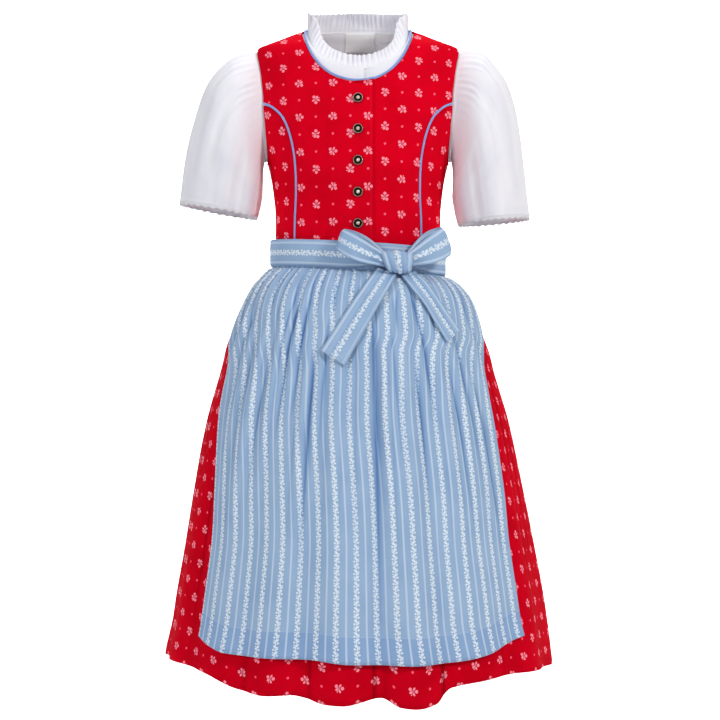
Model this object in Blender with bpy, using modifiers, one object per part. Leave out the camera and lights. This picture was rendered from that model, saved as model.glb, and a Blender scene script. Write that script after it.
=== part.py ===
"""A child's dirndl: a red dress, a white blouse under it and a light blue apron tied in a bow.

The clothes are filled out and hollow. Units are metres with +Z up; the front faces -Y and the
wearer's right side is at -X. The origin lies midway between the shoulder seams, where a
wearer's shoulders carry the dress. Tables below hold millimetres and degrees.
"""
import math
from typing import Callable, NamedTuple, Sequence

import bmesh
import bpy
from mathutils import Matrix, Vector

MM = 0.001
DEGREE = math.pi / 180.0

# Driving dimensions: walls and gaps
DRESS_WALL = 1.4 * MM
BLOUSE_WALL = 1.0 * MM
APRON_WALL = 1.2 * MM
SEAM_GAP = 0.3 * MM
LAYER_GAP = 0.8 * MM

# Driving dimensions: heights and widths of the bodice
SHOULDER_POINT = 13.0 * MM
SHOULDER_TIP = -12.0 * MM
WAIST = -291.0 * MM
NECK_HALF_WIDTH = 70.0 * MM
NECK_DROP = 78.0 * MM
BACK_NECK = 10.0 * MM
ARMHOLE_CENTRE = -89.0 * MM
ARMHOLE_HALF_HEIGHT = 77.0 * MM
ARMHOLE_HALF_DEPTH = 130.0 * MM
ARMHOLE_FRONT_REACH = 30.0 * DEGREE
ARMHOLE_BACK_REACH = 26.0 * DEGREE
RIGHT_FRONT_LAP = 20.0 * MM
LEFT_FRONT_LAP = 14.0 * MM
LAP_LIFT = DRESS_WALL + LAYER_GAP
LAP_START = 42.0 * MM

# Driving dimensions: the blouse
BLOUSE_LIFT = -3.3 * MM
BLOUSE_BACK_LIFT = -3.9 * MM
BLOUSE_HEM = -190.0 * MM
BLOUSE_NECK_HALF_WIDTH = 68.5 * MM
BLOUSE_NECK_POINT = 14.6 * MM
BLOUSE_NECK_DROP = 60.6 * MM
BLOUSE_BACK_NECK = 21.0 * MM
BLOUSE_ARMHOLE_GROWTH = 5.8 * MM
BLOUSE_LAP = 9.0 * MM
BLOUSE_LAP_SINK = BLOUSE_WALL + 1.2 * MM
SLEEVE_TUCK = 4.3 * MM
SLEEVE_LIFT = -3.7 * MM
SHOULDER_SINK = 1.6 * MM
LABEL_GAP = 1.3 * MM
COLLAR_HEIGHT_FRONT = 18.0 * MM
COLLAR_HEIGHT_BACK = 23.0 * MM
COLLAR_LEAN_FRONT = 8.0 * MM
COLLAR_LEAN_SIDE = 4.0 * MM
COLLAR_WAVES = 40
COLLAR_SEAT = 1.7 * MM
COLLAR_WAVE_HEIGHT = 1.9 * MM
COLLAR_LAP = 7.0 * MM
LACE_DROP = 5.0 * MM
LACE_SCALLOPS = 26

# Driving dimensions: trimmings
PIPING_RADIUS = 1.3 * MM
BUTTON_RADIUS = 6.5 * MM
BUTTON_HEIGHT = 3.4 * MM
FIRST_BUTTON = -89.0 * MM
BUTTON_PITCH = 40.0 * MM
BUTTONS = 5

# Driving dimensions: skirt, apron and ties
WAIST_TILT = 0.056
BAND_TOP = -273.0 * MM
BAND_BOTTOM = -309.0 * MM
BAND_LIFT = 3.5 * MM + APRON_WALL
BAND_TURN = 92.0 * DEGREE
TIE_HEIGHT = 33.0 * MM
APRON_GATHERS = 27
SKIRT_GATHERS = 20
SKIRT_GATHER_HEIGHT = 3.0 * MM
APRON_GATHER_HEIGHT = 5.8 * MM
LEFT_FLARE = 6.0 * MM
KNOT_TURN = 25.0 * DEGREE
TIE_LIFT = BAND_LIFT + APRON_WALL + 0.5 * MM
TIE_LAYER = APRON_WALL + 0.6 * MM
TIE_DROP = 3.0 * MM

Edge = Callable[[float], tuple[float, float]]
Place = Callable[[float, float], Vector]


class Section(NamedTuple):
    """One level section of the body: heights and half sizes in millimetres."""

    height: float
    half_width: float
    front: float
    back: float


TORSO_SECTIONS = (
    Section(-300.0, 111.0, 75.0, 69.0),
    Section(-270.0, 109.5, 76.0, 68.0),
    Section(-240.0, 109.5, 79.0, 70.0),
    Section(-200.0, 113.0, 84.0, 75.0),
    Section(-166.0, 120.0, 87.0, 80.0),
    Section(-150.0, 126.0, 87.0, 81.0),
    Section(-120.0, 137.0, 85.0, 82.0),
    Section(-90.0, 143.0, 81.0, 81.0),
    Section(-64.0, 143.0, 75.0, 79.0),
    Section(-45.0, 141.0, 70.0, 76.0),
    Section(-30.0, 139.0, 64.0, 73.0),
    Section(-20.0, 137.0, 58.0, 71.0),
    Section(-12.0, 132.0, 52.0, 69.0),
    Section(-6.0, 118.0, 46.0, 67.0),
    Section(0.0, 102.0, 38.0, 65.0),
    Section(6.0, 88.0, 29.0, 63.0),
    Section(13.0, 70.0, 14.0, 60.0),
    Section(24.0, 60.0, 7.0, 57.0),
)

# The skirt's own sections, from its hem up to the waist seam
SKIRT_SECTIONS = (
    Section(-860.0, 259.0, 226.0, 227.0),
    Section(-825.0, 255.0, 222.0, 223.0),
    Section(-745.0, 245.0, 211.0, 211.0),
    Section(-665.0, 231.0, 197.0, 196.0),
    Section(-585.0, 216.0, 182.0, 180.0),
    Section(-505.0, 200.0, 165.0, 162.0),
    Section(-439.0, 181.5, 146.0, 144.0),
    Section(-412.0, 175.0, 138.0, 136.0),
    Section(-392.0, 167.0, 130.0, 128.0),
    Section(-359.0, 154.0, 116.0, 114.0),
    Section(-333.0, 137.5, 102.5, 98.5),
    Section(-319.0, 122.2, 89.6, 85.1),
    Section(-310.0, 111.0, 75.8, 69.4),
    Section(-300.0, 110.7, 75.3, 68.9),
    Section(-291.0, 110.6, 75.2, 68.8),
)


class SeamPoint(NamedTuple):
    """A point of the curved front seam: height and distance from the middle, millimetres."""

    height: float
    distance: float


FRONT_SEAM = (
    SeamPoint(-300.0, 83.0),
    SeamPoint(-264.0, 82.6),
    SeamPoint(-239.0, 82.0),
    SeamPoint(-216.0, 80.7),
    SeamPoint(-192.0, 80.5),
    SeamPoint(-169.0, 81.7),
    SeamPoint(-147.0, 85.0),
    SeamPoint(-128.0, 90.0),
    SeamPoint(-111.0, 97.5),
    SeamPoint(-101.0, 106.0),
    SeamPoint(-95.0, 113.5),
    SeamPoint(-90.0, 123.6),
)


class HemPoint(NamedTuple):
    """Height of a hem, millimetres, at a turn from the middle front, degrees."""

    turn: float
    height: float


SKIRT_HEM = (
    HemPoint(-180.0, -832.0),
    HemPoint(-150.0, -836.0),
    HemPoint(-120.0, -826.0),
    HemPoint(-92.0, -816.0),
    HemPoint(-70.0, -812.0),
    HemPoint(-48.0, -818.0),
    HemPoint(-36.0, -832.0),
    HemPoint(-27.0, -837.0),
    HemPoint(-18.0, -834.5),
    HemPoint(-14.5, -837.0),
    HemPoint(-9.0, -843.0),
    HemPoint(-4.0, -844.0),
    HemPoint(6.5, -836.0),
    HemPoint(11.5, -847.0),
    HemPoint(16.0, -849.0),
    HemPoint(22.0, -845.0),
    HemPoint(27.0, -828.0),
    HemPoint(36.0, -823.0),
    HemPoint(51.0, -820.0),
    HemPoint(66.0, -822.0),
    HemPoint(84.0, -826.0),
    HemPoint(120.0, -834.0),
    HemPoint(150.0, -838.0),
    HemPoint(180.0, -832.0),
)

APRON_HEM = (
    HemPoint(-56.0, -770.0),
    HemPoint(-47.0, -782.0),
    HemPoint(-40.0, -789.0),
    HemPoint(-29.0, -790.5),
    HemPoint(-13.0, -790.0),
    HemPoint(-2.0, -794.0),
    HemPoint(16.0, -796.5),
    HemPoint(27.0, -796.0),
    HemPoint(39.0, -790.0),
    HemPoint(50.0, -778.5),
    HemPoint(58.0, -772.0),
)


class ApronEdge(NamedTuple):
    """Turn of the apron's two side edges, degrees, at a height in millimetres."""

    height: float
    right: float
    left: float


APRON_EDGES = (
    ApronEdge(-800.0, 53.8, 56.6),
    ApronEdge(-745.0, 52.2, 54.2),
    ApronEdge(-665.0, 52.5, 54.3),
    ApronEdge(-585.0, 56.0, 56.3),
    ApronEdge(-505.0, 60.5, 57.5),
    ApronEdge(-439.0, 64.5, 61.5),
    ApronEdge(-412.0, 69.0, 65.0),
    ApronEdge(-392.0, 74.0, 72.0),
    ApronEdge(-359.0, 82.0, 79.0),
    ApronEdge(-335.0, 86.0, 84.0),
    ApronEdge(-309.0, 88.0, 88.0),
)


class Fold(NamedTuple):
    """A long fold: turn and half width in degrees, height in millimetres, and where it starts
    as a share of the way from the waist to the hem."""

    turn: float
    half_width: float
    height: float
    start: float


SKIRT_FOLDS = (
    Fold(-168.0, 14.0, 11.0, 0.05),
    Fold(-142.0, 13.0, 9.0, 0.12),
    Fold(-117.0, 13.0, 11.0, 0.04),
    Fold(-92.0, 12.0, 7.0, 0.15),
    Fold(-69.0, 12.0, 8.0, 0.10),
    Fold(-45.0, 12.0, 7.0, 0.20),
    Fold(-25.0, 9.0, 6.0, 0.25),
    Fold(-4.5, 11.0, 12.0, 0.10),
    Fold(15.8, 9.5, 14.0, 0.12),
    Fold(37.0, 11.0, 6.0, 0.25),
    Fold(61.0, 12.0, 8.0, 0.12),
    Fold(87.0, 12.0, 7.0, 0.15),
    Fold(112.0, 13.0, 10.0, 0.06),
    Fold(138.0, 13.0, 9.0, 0.12),
    Fold(165.0, 14.0, 11.0, 0.05),
)

# Creases of the apron below its gathers: the same columns, heights below zero sink in
APRON_CREASES = (
    Fold(-62.0, 5.0, -2.0, 0.42),
    Fold(-46.0, 5.0, -2.6, 0.50),
    Fold(-37.0, 4.5, -2.2, 0.30),
    Fold(-27.0, 4.5, -2.4, 0.36),
    Fold(-18.0, 4.5, -2.0, 0.60),
    Fold(9.0, 5.0, -3.2, 0.85),
    Fold(33.0, 5.0, -2.6, 0.44),
    Fold(42.0, 4.5, -2.0, 0.30),
    Fold(56.0, 5.0, -2.4, 0.52),
)


class SleeveRing(NamedTuple):
    """One ring of a sleeve: share of its length, then the outer point, the inner point and
    the half depth in millimetres, on the side where X is positive."""

    share: float
    outer_x: float
    outer_z: float
    inner_x: float
    inner_z: float
    half_depth: float


RIGHT_SLEEVE = (
    SleeveRing(0.00, 137.0, -16.0, 121.0, -163.0, 41.0),
    SleeveRing(0.06, 146.0, -17.5, 126.0, -163.5, 46.0),
    SleeveRing(0.14, 159.0, -22.0, 127.0, -172.0, 54.0),
    SleeveRing(0.26, 178.0, -36.0, 127.0, -181.0, 63.0),
    SleeveRing(0.42, 200.0, -66.0, 127.5, -192.0, 70.0),
    SleeveRing(0.60, 214.0, -107.0, 128.5, -205.0, 71.0),
    SleeveRing(0.80, 227.0, -160.0, 131.0, -219.0, 64.0),
    SleeveRing(1.00, 236.0, -216.5, 134.5, -235.5, 55.0),
)

LEFT_SLEEVE = (
    SleeveRing(0.00, 136.0, -14.0, 121.0, -161.0, 41.0),
    SleeveRing(0.06, 147.0, -11.0, 126.0, -162.0, 46.0),
    SleeveRing(0.14, 161.0, -15.0, 127.0, -171.0, 54.0),
    SleeveRing(0.26, 178.0, -33.0, 127.0, -181.0, 63.0),
    SleeveRing(0.42, 197.0, -63.0, 127.0, -193.0, 70.0),
    SleeveRing(0.60, 210.0, -110.0, 127.0, -206.0, 71.0),
    SleeveRing(0.80, 218.0, -170.0, 130.0, -224.0, 64.0),
    SleeveRing(1.00, 227.0, -236.0, 134.0, -244.0, 55.0),
)

# Rows of the pieces, closer together where the cloth bends most
SEAM_ROWS = (-291.0, -250.0, -205.0, -170.0, -146.0, -127.0, -112.0, -101.0, -95.0, -90.0)
SLEEVE_ROWS = (0.0, 0.03, 0.06, 0.15, 0.31, 0.53, 0.77, 1.0)
SKIRT_ROWS = (0.0, 0.034, 0.055, 0.10, 0.19, 0.36, 0.65, 1.0)
APRON_ROWS = (0.0, 0.03, 0.07, 0.15, 0.30, 0.52, 0.76, 1.0)
SEAM_STEPS = len(SEAM_ROWS) - 1
NECK_STEPS = 9
ARMHOLE_STEPS = 10
SHOULDER_COLUMNS = 3
BACK_NECK_COLUMNS = 9


class BowLoop(NamedTuple):
    """A loop of the bow: its corners at the knot and at its far end, millimetres."""

    name: str
    knot_top: tuple[float, float, float]
    knot_bottom: tuple[float, float, float]
    end_top: tuple[float, float, float]
    end_bottom: tuple[float, float, float]
    puff: float


BOW_LOOPS = (
    BowLoop("bow_loop_right", (36.1, -89.0, -291.0), (36.6, -89.0, -305.0),
            (-20.0, -99.0, -257.0), (-29.0, -97.0, -284.0), 9.0),
    BowLoop("bow_loop_left", (65.1, -86.0, -289.0), (65.6, -84.0, -304.0),
            (110.0, -62.0, -252.0), (123.0, -58.0, -287.0), 9.0),
)


class TailStation(NamedTuple):
    """A station along a bow tail: both edges as seen from the front, millimetres."""

    start_x: float
    start_z: float
    end_x: float
    end_z: float


RIGHT_TAIL = (
    TailStation(25.5, -306.6, 50.0, -316.6),
    TailStation(9.5, -329.0, 38.0, -337.0),
    TailStation(-4.5, -349.0, 24.0, -361.0),
    TailStation(-24.0, -379.0, 4.0, -397.0),
    TailStation(-46.6, -414.0, -16.4, -433.0),
)

LEFT_TAIL = (
    TailStation(56.0, -317.6, 73.0, -311.2),
    TailStation(69.0, -335.0, 86.5, -324.0),
    TailStation(84.0, -354.0, 99.0, -342.0),
    TailStation(98.0, -378.0, 114.0, -364.0),
    TailStation(113.4, -403.0, 130.0, -388.0),
)

KNOT_CENTRE = (51.5, -87.7, -300.0)
KNOT_SIZE = (39.0, 25.0, 27.0)
KNOT_PLEAT = 0.1


class Finish(NamedTuple):
    """Colour, roughness and metallic value of one material."""

    red: float
    green: float
    blue: float
    roughness: float
    metallic: float


FINISHES = {
    "red cotton": Finish(0.62, 0.006, 0.02, 0.75, 0.0),
    "white batiste": Finish(0.85, 0.85, 0.87, 0.80, 0.0),
    "blue stripe": Finish(0.28, 0.44, 0.70, 0.70, 0.0),
    "blue piping": Finish(0.30, 0.40, 0.72, 0.60, 0.0),
    "old pewter": Finish(0.30, 0.27, 0.22, 0.35, 0.9),
    "woven label": Finish(0.90, 0.90, 0.90, 0.70, 0.0),
}


def monotone_slopes(keys: Sequence[float], values: Sequence[float]) -> list[float]:
    """Slopes at each key of a smooth curve that never overshoots its points."""
    steps = [(values[i + 1] - values[i]) / (keys[i + 1] - keys[i]) for i in range(len(keys) - 1)]
    slopes = [steps[0]]
    for before, after in zip(steps, steps[1:]):
        if before * after <= 0.0:
            slopes.append(0.0)
        else:
            slopes.append(2.0 * before * after / (before + after))
    slopes.append(steps[-1])
    return slopes


class Table:
    """Rows of numbers joined by smooth curves over their first column."""

    def __init__(self, rows: Sequence[tuple], key_unit: float, value_unit: float) -> None:
        self.keys = [row[0] * key_unit for row in rows]
        self.columns = [[row[i] * value_unit for row in rows] for i in range(1, len(rows[0]))]
        self.slopes = [monotone_slopes(self.keys, column) for column in self.columns]

    def at(self, key: float) -> list[float]:
        """Every column's value at a key, which is held within the table."""
        keys = self.keys
        key = min(max(key, keys[0]), keys[-1])
        i = 0
        while i < len(keys) - 2 and key > keys[i + 1]:
            i += 1
        span = keys[i + 1] - keys[i]
        t = (key - keys[i]) / span
        found = []
        for column, slopes in zip(self.columns, self.slopes):
            rise = (2.0 * t ** 3 - 3.0 * t ** 2 + 1.0) * column[i]
            rise += (3.0 * t ** 2 - 2.0 * t ** 3) * column[i + 1]
            rise += (t ** 3 - 2.0 * t ** 2 + t) * span * slopes[i]
            rise += (t ** 3 - t ** 2) * span * slopes[i + 1]
            found.append(rise)
        return found


TORSO = Table(TORSO_SECTIONS, MM, MM)
SKIRT = Table(SKIRT_SECTIONS, MM, MM)
SEAM = Table(FRONT_SEAM, MM, MM)
SKIRT_HEM_LINE = Table(SKIRT_HEM, DEGREE, MM)
APRON_HEM_LINE = Table(APRON_HEM, DEGREE, MM)
APRON_EDGE_LINE = Table(APRON_EDGES, MM, DEGREE)


def smooth_step(value: float, low: float, high: float) -> float:
    """0 below low, 1 above high and a soft rise between them; low may be above high."""
    t = min(max((value - low) / (high - low), 0.0), 1.0)
    return t * t * (3.0 - 2.0 * t)


def mix(first: float, second: float, share: float) -> float:
    """The value a share of the way from the first to the second."""
    return first + (second - first) * share


# The torso's surface, which carries the bodice, the blouse, the band and the ties
def torso_point(turn: float, height: float) -> Vector:
    """A point of the torso, at a turn from the middle front towards +X."""
    half_width, front, back = TORSO.at(height)
    depth = front if math.cos(turn) > 0.0 else back
    return Vector((half_width * math.sin(turn), -depth * math.cos(turn), height))


def torso_frame(turn: float, height: float) -> tuple[Vector, Vector, Vector]:
    """How the torso's point moves for each radian of turn and metre of height, and its normal."""
    small = 0.0005
    around = (torso_point(turn + small, height) - torso_point(turn - small, height)) / (2 * small)
    small = 0.0002
    upward = (torso_point(turn, height + small) - torso_point(turn, height - small)) / (2 * small)
    return around, upward, around.cross(upward).normalized()


def on_torso(turn: float, height: float, lift: float) -> Vector:
    """A point at a distance outside the torso, or inside it where lift is below zero."""
    return torso_point(turn, height) + torso_frame(turn, height)[2] * lift


def turn_at(distance: float, height: float) -> float:
    """The turn at which the front of the torso lies a distance from the middle."""
    half_width = TORSO.at(height)[0]
    return math.asin(min(max(distance / half_width, -1.0), 1.0))


# Edges of the pieces, each a turn and a height for a share from 0 to 1
def shifted(edge: Edge, distance: float) -> Edge:
    """The edge moved to its left over the torso's surface by a distance."""

    def moved(share: float) -> tuple[float, float]:
        small = 0.002
        turn, height = edge(share)
        first, last = edge(max(share - small, 0.0)), edge(min(share + small, 1.0))
        around, upward, _ = torso_frame(turn, height)
        run = (last[0] - first[0]) * around.length
        rise = (last[1] - first[1]) * upward.length
        length = math.hypot(run, rise)
        turn -= distance * rise / length / around.length
        height += distance * run / length / upward.length
        return turn, height

    return moved


def joined(first: Edge, second: Edge, share: float) -> Edge:
    """One edge made of two, which meet at a share of the whole."""

    def both(t: float) -> tuple[float, float]:
        if t <= share:
            return first(t / share)
        return second((t - share) / (1.0 - share))

    return both


def neck_edge(half_width: float, point: float, drop: float, first: float, last: float) -> Edge:
    """The front neckline between two angles, from 0 at the middle to 90 degrees at the side."""

    def edge(share: float) -> tuple[float, float]:
        angle = mix(first, last, share)
        height = point - drop * math.cos(angle)
        return turn_at(half_width * math.sin(angle), height), height

    return edge


def armhole_edge(first: float, last: float, growth: float = 0.0) -> Edge:
    """The armhole between two angles: 0 is the shoulder tip, 90 degrees the front of it."""

    def edge(share: float) -> tuple[float, float]:
        angle = mix(first, last, share)
        reach = ARMHOLE_FRONT_REACH if math.sin(angle) > 0.0 else ARMHOLE_BACK_REACH
        turn = 0.5 * math.pi - (reach + growth / ARMHOLE_HALF_DEPTH) * math.sin(angle)
        return turn, ARMHOLE_CENTRE + (ARMHOLE_HALF_HEIGHT + growth) * math.cos(angle)

    return edge


def side_turn(height: float, trim: float, behind: bool) -> float:
    """The turn of the side or shoulder line, trimmed back towards the front or the back."""
    _, front, back = TORSO.at(height)
    if behind:
        return 0.5 * math.pi + math.asin(trim / back)
    return 0.5 * math.pi - math.asin(trim / front)


def side_edge(first: float, last: float, trim: float, behind: bool) -> Edge:
    """A stretch of the side or shoulder line between two heights."""

    def edge(share: float) -> tuple[float, float]:
        height = mix(first, last, share)
        return side_turn(height, trim, behind), height

    return edge


def front_seam_edge(share: float) -> tuple[float, float]:
    """The curved seam of the front from the waist up, its rows at even shares."""
    place = share * SEAM_STEPS
    row = min(int(place), SEAM_STEPS - 1)
    height = mix(SEAM_ROWS[row], SEAM_ROWS[row + 1], place - row) * MM
    return turn_at(SEAM.at(height)[0], height), height


def straight_edge(first: tuple[float, float], last: tuple[float, float]) -> Edge:
    """The edge that runs evenly from one turn and height to another."""
    return lambda share: (mix(first[0], last[0], share), mix(first[1], last[1], share))


def filled(bottom: Edge, top: Edge, left: Edge, right: Edge) -> Edge:
    """A patch filled between four edges, as a function of its two shares."""
    corner_00, corner_10 = bottom(0.0), bottom(1.0)
    corner_01, corner_11 = top(0.0), top(1.0)

    def inside(u: float, v: float) -> tuple[float, float]:
        found = []
        for i in (0, 1):
            across = mix(left(v)[i], right(v)[i], u)
            along = mix(bottom(u)[i], top(u)[i], v)
            corners = mix(mix(corner_00[i], corner_10[i], u), mix(corner_01[i], corner_11[i], u), v)
            found.append(across + along - corners)
        return found[0], found[1]

    return inside


# Objects and modifiers
def make_material(name: str) -> bpy.types.Material:
    """A plain material with the finish's values."""
    finish = FINISHES[name]
    material = bpy.data.materials.new(name)
    material.use_nodes = True
    shader = material.node_tree.nodes["Principled BSDF"]
    shader.inputs["Base Color"].default_value = (finish.red, finish.green, finish.blue, 1.0)
    shader.inputs["Roughness"].default_value = finish.roughness
    shader.inputs["Metallic"].default_value = finish.metallic
    material.diffuse_color = (finish.red, finish.green, finish.blue, 1.0)
    return material


def add_object(name: str, data: bpy.types.ID, finish: str) -> bpy.types.Object:
    """A new object in the dirndl's collection, with its material."""
    data.materials.append(MATERIALS[finish])
    item = bpy.data.objects.new(name, data)
    DIRNDL.objects.link(item)
    return item


def add_wall(item: bpy.types.Object, thickness: float, offset: float) -> None:
    """Give an open surface its thickness; offset -1 keeps the surface as the outer face."""
    solidify = item.modifiers.new("wall", "SOLIDIFY")
    solidify.thickness = thickness
    solidify.offset = offset


def cloth(name: str, columns: int, rows: int, place: Place, wall: float, finish: str,
          offset: float = -1.0, tube: bool = False) -> bpy.types.Object:
    """A wall of cloth: a flat grid bent by a formula of its two shares, then thickened."""
    mesh = bpy.data.meshes.new(name)
    grid = bmesh.new()
    bmesh.ops.create_grid(grid, x_segments=columns, y_segments=rows, size=0.5)
    for vertex in grid.verts:
        vertex.co = place(vertex.co.x + 0.5, vertex.co.y + 0.5)
    if tube:
        bmesh.ops.remove_doubles(grid, verts=grid.verts, dist=0.01 * MM)
    grid.to_mesh(mesh)
    grid.free()
    mesh.shade_smooth()
    item = add_object(name, mesh, finish)
    add_wall(item, wall, offset)
    return item


def row_share(share: float, rows: Sequence[float]) -> float:
    """The listed row at an even share of their number."""
    return rows[round(share * (len(rows) - 1))]


def mirrored(place: Place, side: int) -> Place:
    """The placing for one side: +1 is the wearer's left, -1 the right, as its mirror image."""
    if side > 0:
        return place

    def other(u: float, v: float) -> Vector:
        point = place(1.0 - u, v)
        return Vector((-point.x, point.y, point.z))

    return other


def lap_lift(distance: float) -> float:
    """How far the upper front is raised over the lower one at a distance from the middle."""
    return LAP_LIFT * smooth_step(distance, LAP_START, LAP_START * 0.4)


def under_layer(turn: float, height: float, lift: float) -> Vector:
    """A point of the blouse's layer, which lies deeper where the shoulders bend most."""
    distance = abs(torso_point(turn, height).x)
    sink = smooth_step(distance, 80.0 * MM, 108.0 * MM) * smooth_step(height, -60.0 * MM, -25.0 * MM)
    return on_torso(turn, height, lift - SHOULDER_SINK * sink)


# The bodice
PIPING_SEAT = PIPING_RADIUS + SEAM_GAP + 0.1 * MM
NECK_SEAT = PIPING_SEAT + 0.7 * MM
SHOULDER_TRIM = 0.6 * MM
SIDE_TRIM = 0.55 * MM
TRIM_FADE = 16
PIPING_LIFT = -0.3 * MM


def bodice_neck(first: float, last: float) -> Edge:
    """The edge of the front under the neck piping."""
    return neck_edge(NECK_HALF_WIDTH + NECK_SEAT, SHOULDER_POINT - 0.4 * NECK_SEAT,
                     NECK_DROP + 0.6 * NECK_SEAT, first, last)


def bodice_front(name: str, side: int, lap: float, raised: bool) -> None:
    """One front, from its lap over the middle to the curved seam and the armhole."""
    start_angle = math.asin(-lap / (NECK_HALF_WIDTH + NECK_SEAT))
    neck = bodice_neck(start_angle, 0.5 * math.pi)
    neck_bottom = neck(0.0)[1]
    seam = shifted(front_seam_edge, PIPING_SEAT)
    waist = WAIST + 0.5 * SEAM_GAP
    steps = SEAM_STEPS + NECK_STEPS
    split = SEAM_STEPS / steps

    def lap_edge(share: float) -> tuple[float, float]:
        height = mix(waist, neck_bottom, share)
        return turn_at(-lap, height), height

    neck_corner = (side_turn(neck(1.0)[1], SHOULDER_TRIM, False), neck(1.0)[1])
    tip_corner = (side_turn(SHOULDER_TIP, SHOULDER_TRIM, False), SHOULDER_TIP)
    seam = started(seam, waist)
    bottom = straight_edge((turn_at(-lap, waist), waist), seam(0.0))
    top = straight_edge(neck_corner, tip_corner)
    left = joined(lap_edge, trimmed_end(neck, neck_corner), split)
    right = joined(seam, trimmed_end(armhole_edge(0.5 * math.pi, 0.0), tip_corner), split)
    patch = filled(bottom, top, left, right)

    def place(u: float, v: float) -> Vector:
        turn, height = patch(u, v)
        lift = lap_lift(torso_point(turn, height).x) if raised else 0.0
        return on_torso(turn, height, lift)

    cloth(name, 7, steps, mirrored(place, side), DRESS_WALL, "red cotton")


def started(edge: Edge, height: float) -> Edge:
    """The edge with its first point brought to a height, and the next ones left alone."""

    def moved(share: float) -> tuple[float, float]:
        turn, found = edge(share)
        return (turn, height) if share < 0.01 else (turn, found)

    return moved


def trimmed_end(edge: Edge, corner: tuple[float, float]) -> Edge:
    """The edge with its last point moved to a corner, and the points before it less and less."""
    last = edge(1.0)
    gap = (corner[0] - last[0], corner[1] - last[1])

    def moved(share: float) -> tuple[float, float]:
        turn, height = edge(share)
        return turn + gap[0] * share ** TRIM_FADE, height + gap[1] * share ** TRIM_FADE

    return moved


def bodice_side(name: str, side: int) -> None:
    """The piece between the curved seam and the side seam, under the armhole."""
    waist = WAIST + 0.5 * SEAM_GAP
    armpit = armhole_edge(0.0, math.pi)(1.0)[1]
    seam = started(shifted(front_seam_edge, -PIPING_SEAT), waist)
    edge = side_edge(waist, armpit, SIDE_TRIM, False)
    bottom = straight_edge(seam(0.0), edge(0.0))
    below_seam = 2.6 * DEGREE
    top = trimmed_end(armhole_edge(0.5 * math.pi + below_seam, math.pi), edge(1.0))
    patch = filled(bottom, top, trimmed_end(seam, top(0.0)), edge)
    place = mirrored(lambda u, v: on_torso(*patch(u, v), 0.0), side)
    cloth(name, 6, SEAM_STEPS, place, DRESS_WALL, "red cotton")


def back_neck_height(turn: float, side_height: float, middle_height: float) -> float:
    """Height of a back neckline at a turn between 90 and 270 degrees."""
    return mix(side_height, middle_height, math.sin(turn - 0.5 * math.pi) ** 2)


def back_panel(name: str, hem: float, neck_side: float, neck_middle: float, growth: float,
               surface: Place, wall: float, finish: str, side_steps: int) -> None:
    """A back in one piece, between the side seams, the armholes and the shoulders."""
    columns = 2 * SHOULDER_COLUMNS + BACK_NECK_COLUMNS
    rows = side_steps + ARMHOLE_STEPS
    armhole = armhole_edge(math.pi, 2.0 * math.pi, growth)
    armpit, tip = armhole(0.0)[1], armhole(1.0)[1]
    shoulder_part = SHOULDER_COLUMNS / columns
    tip_corner = (side_turn(tip, SHOULDER_TRIM, True), tip)
    side = joined(side_edge(hem, armpit, SIDE_TRIM, True), trimmed_end(armhole, tip_corner),
                  side_steps / rows)

    def other_side(share: float) -> tuple[float, float]:
        turn, height = side(share)
        return 2.0 * math.pi - turn, height

    def top(share: float) -> tuple[float, float]:
        if share < shoulder_part:
            height = mix(tip, neck_side, share / shoulder_part)
            return side_turn(height, SHOULDER_TRIM, True), height
        if share > 1.0 - shoulder_part:
            turn, height = top(1.0 - share)
            return 2.0 * math.pi - turn, height
        start = side_turn(neck_side, SHOULDER_TRIM, True)
        across = (share - shoulder_part) / (1.0 - 2.0 * shoulder_part)
        turn = mix(start, 2.0 * math.pi - start, across)
        return turn, back_neck_height(turn, neck_side, neck_middle)

    bottom = straight_edge(side(0.0), other_side(0.0))
    patch = filled(bottom, top, side, other_side)
    cloth(name, columns, rows, lambda u, v: surface(*patch(u, v)), wall, finish)


def make_bodice() -> None:
    """Fronts, side pieces and back of the dress above the waist."""
    bodice_front("bodice_front_right", -1, RIGHT_FRONT_LAP, True)
    bodice_front("bodice_front_left", 1, LEFT_FRONT_LAP, False)
    bodice_side("bodice_side_right", -1)
    bodice_side("bodice_side_left", 1)
    back_panel("bodice_back", WAIST + 0.5 * SEAM_GAP, SHOULDER_POINT - 0.4 * NECK_SEAT,
               BACK_NECK - NECK_SEAT, 0.0, lambda turn, height: on_torso(turn, height, 0.0),
               DRESS_WALL, "red cotton", 4)


# Piping
def tube(name: str, points: Sequence[Vector], radius: float, finish: str) -> bpy.types.Object:
    """A round cord along the given points."""
    curve = bpy.data.curves.new(name, "CURVE")
    curve.dimensions = "3D"
    curve.bevel_depth = radius
    curve.bevel_resolution = 1
    curve.use_fill_caps = True
    spline = curve.splines.new("POLY")
    spline.points.add(len(points) - 1)
    for place, point in zip(spline.points, points):
        place.co = (*point, 1.0)
    return add_object(name, curve, finish)


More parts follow.
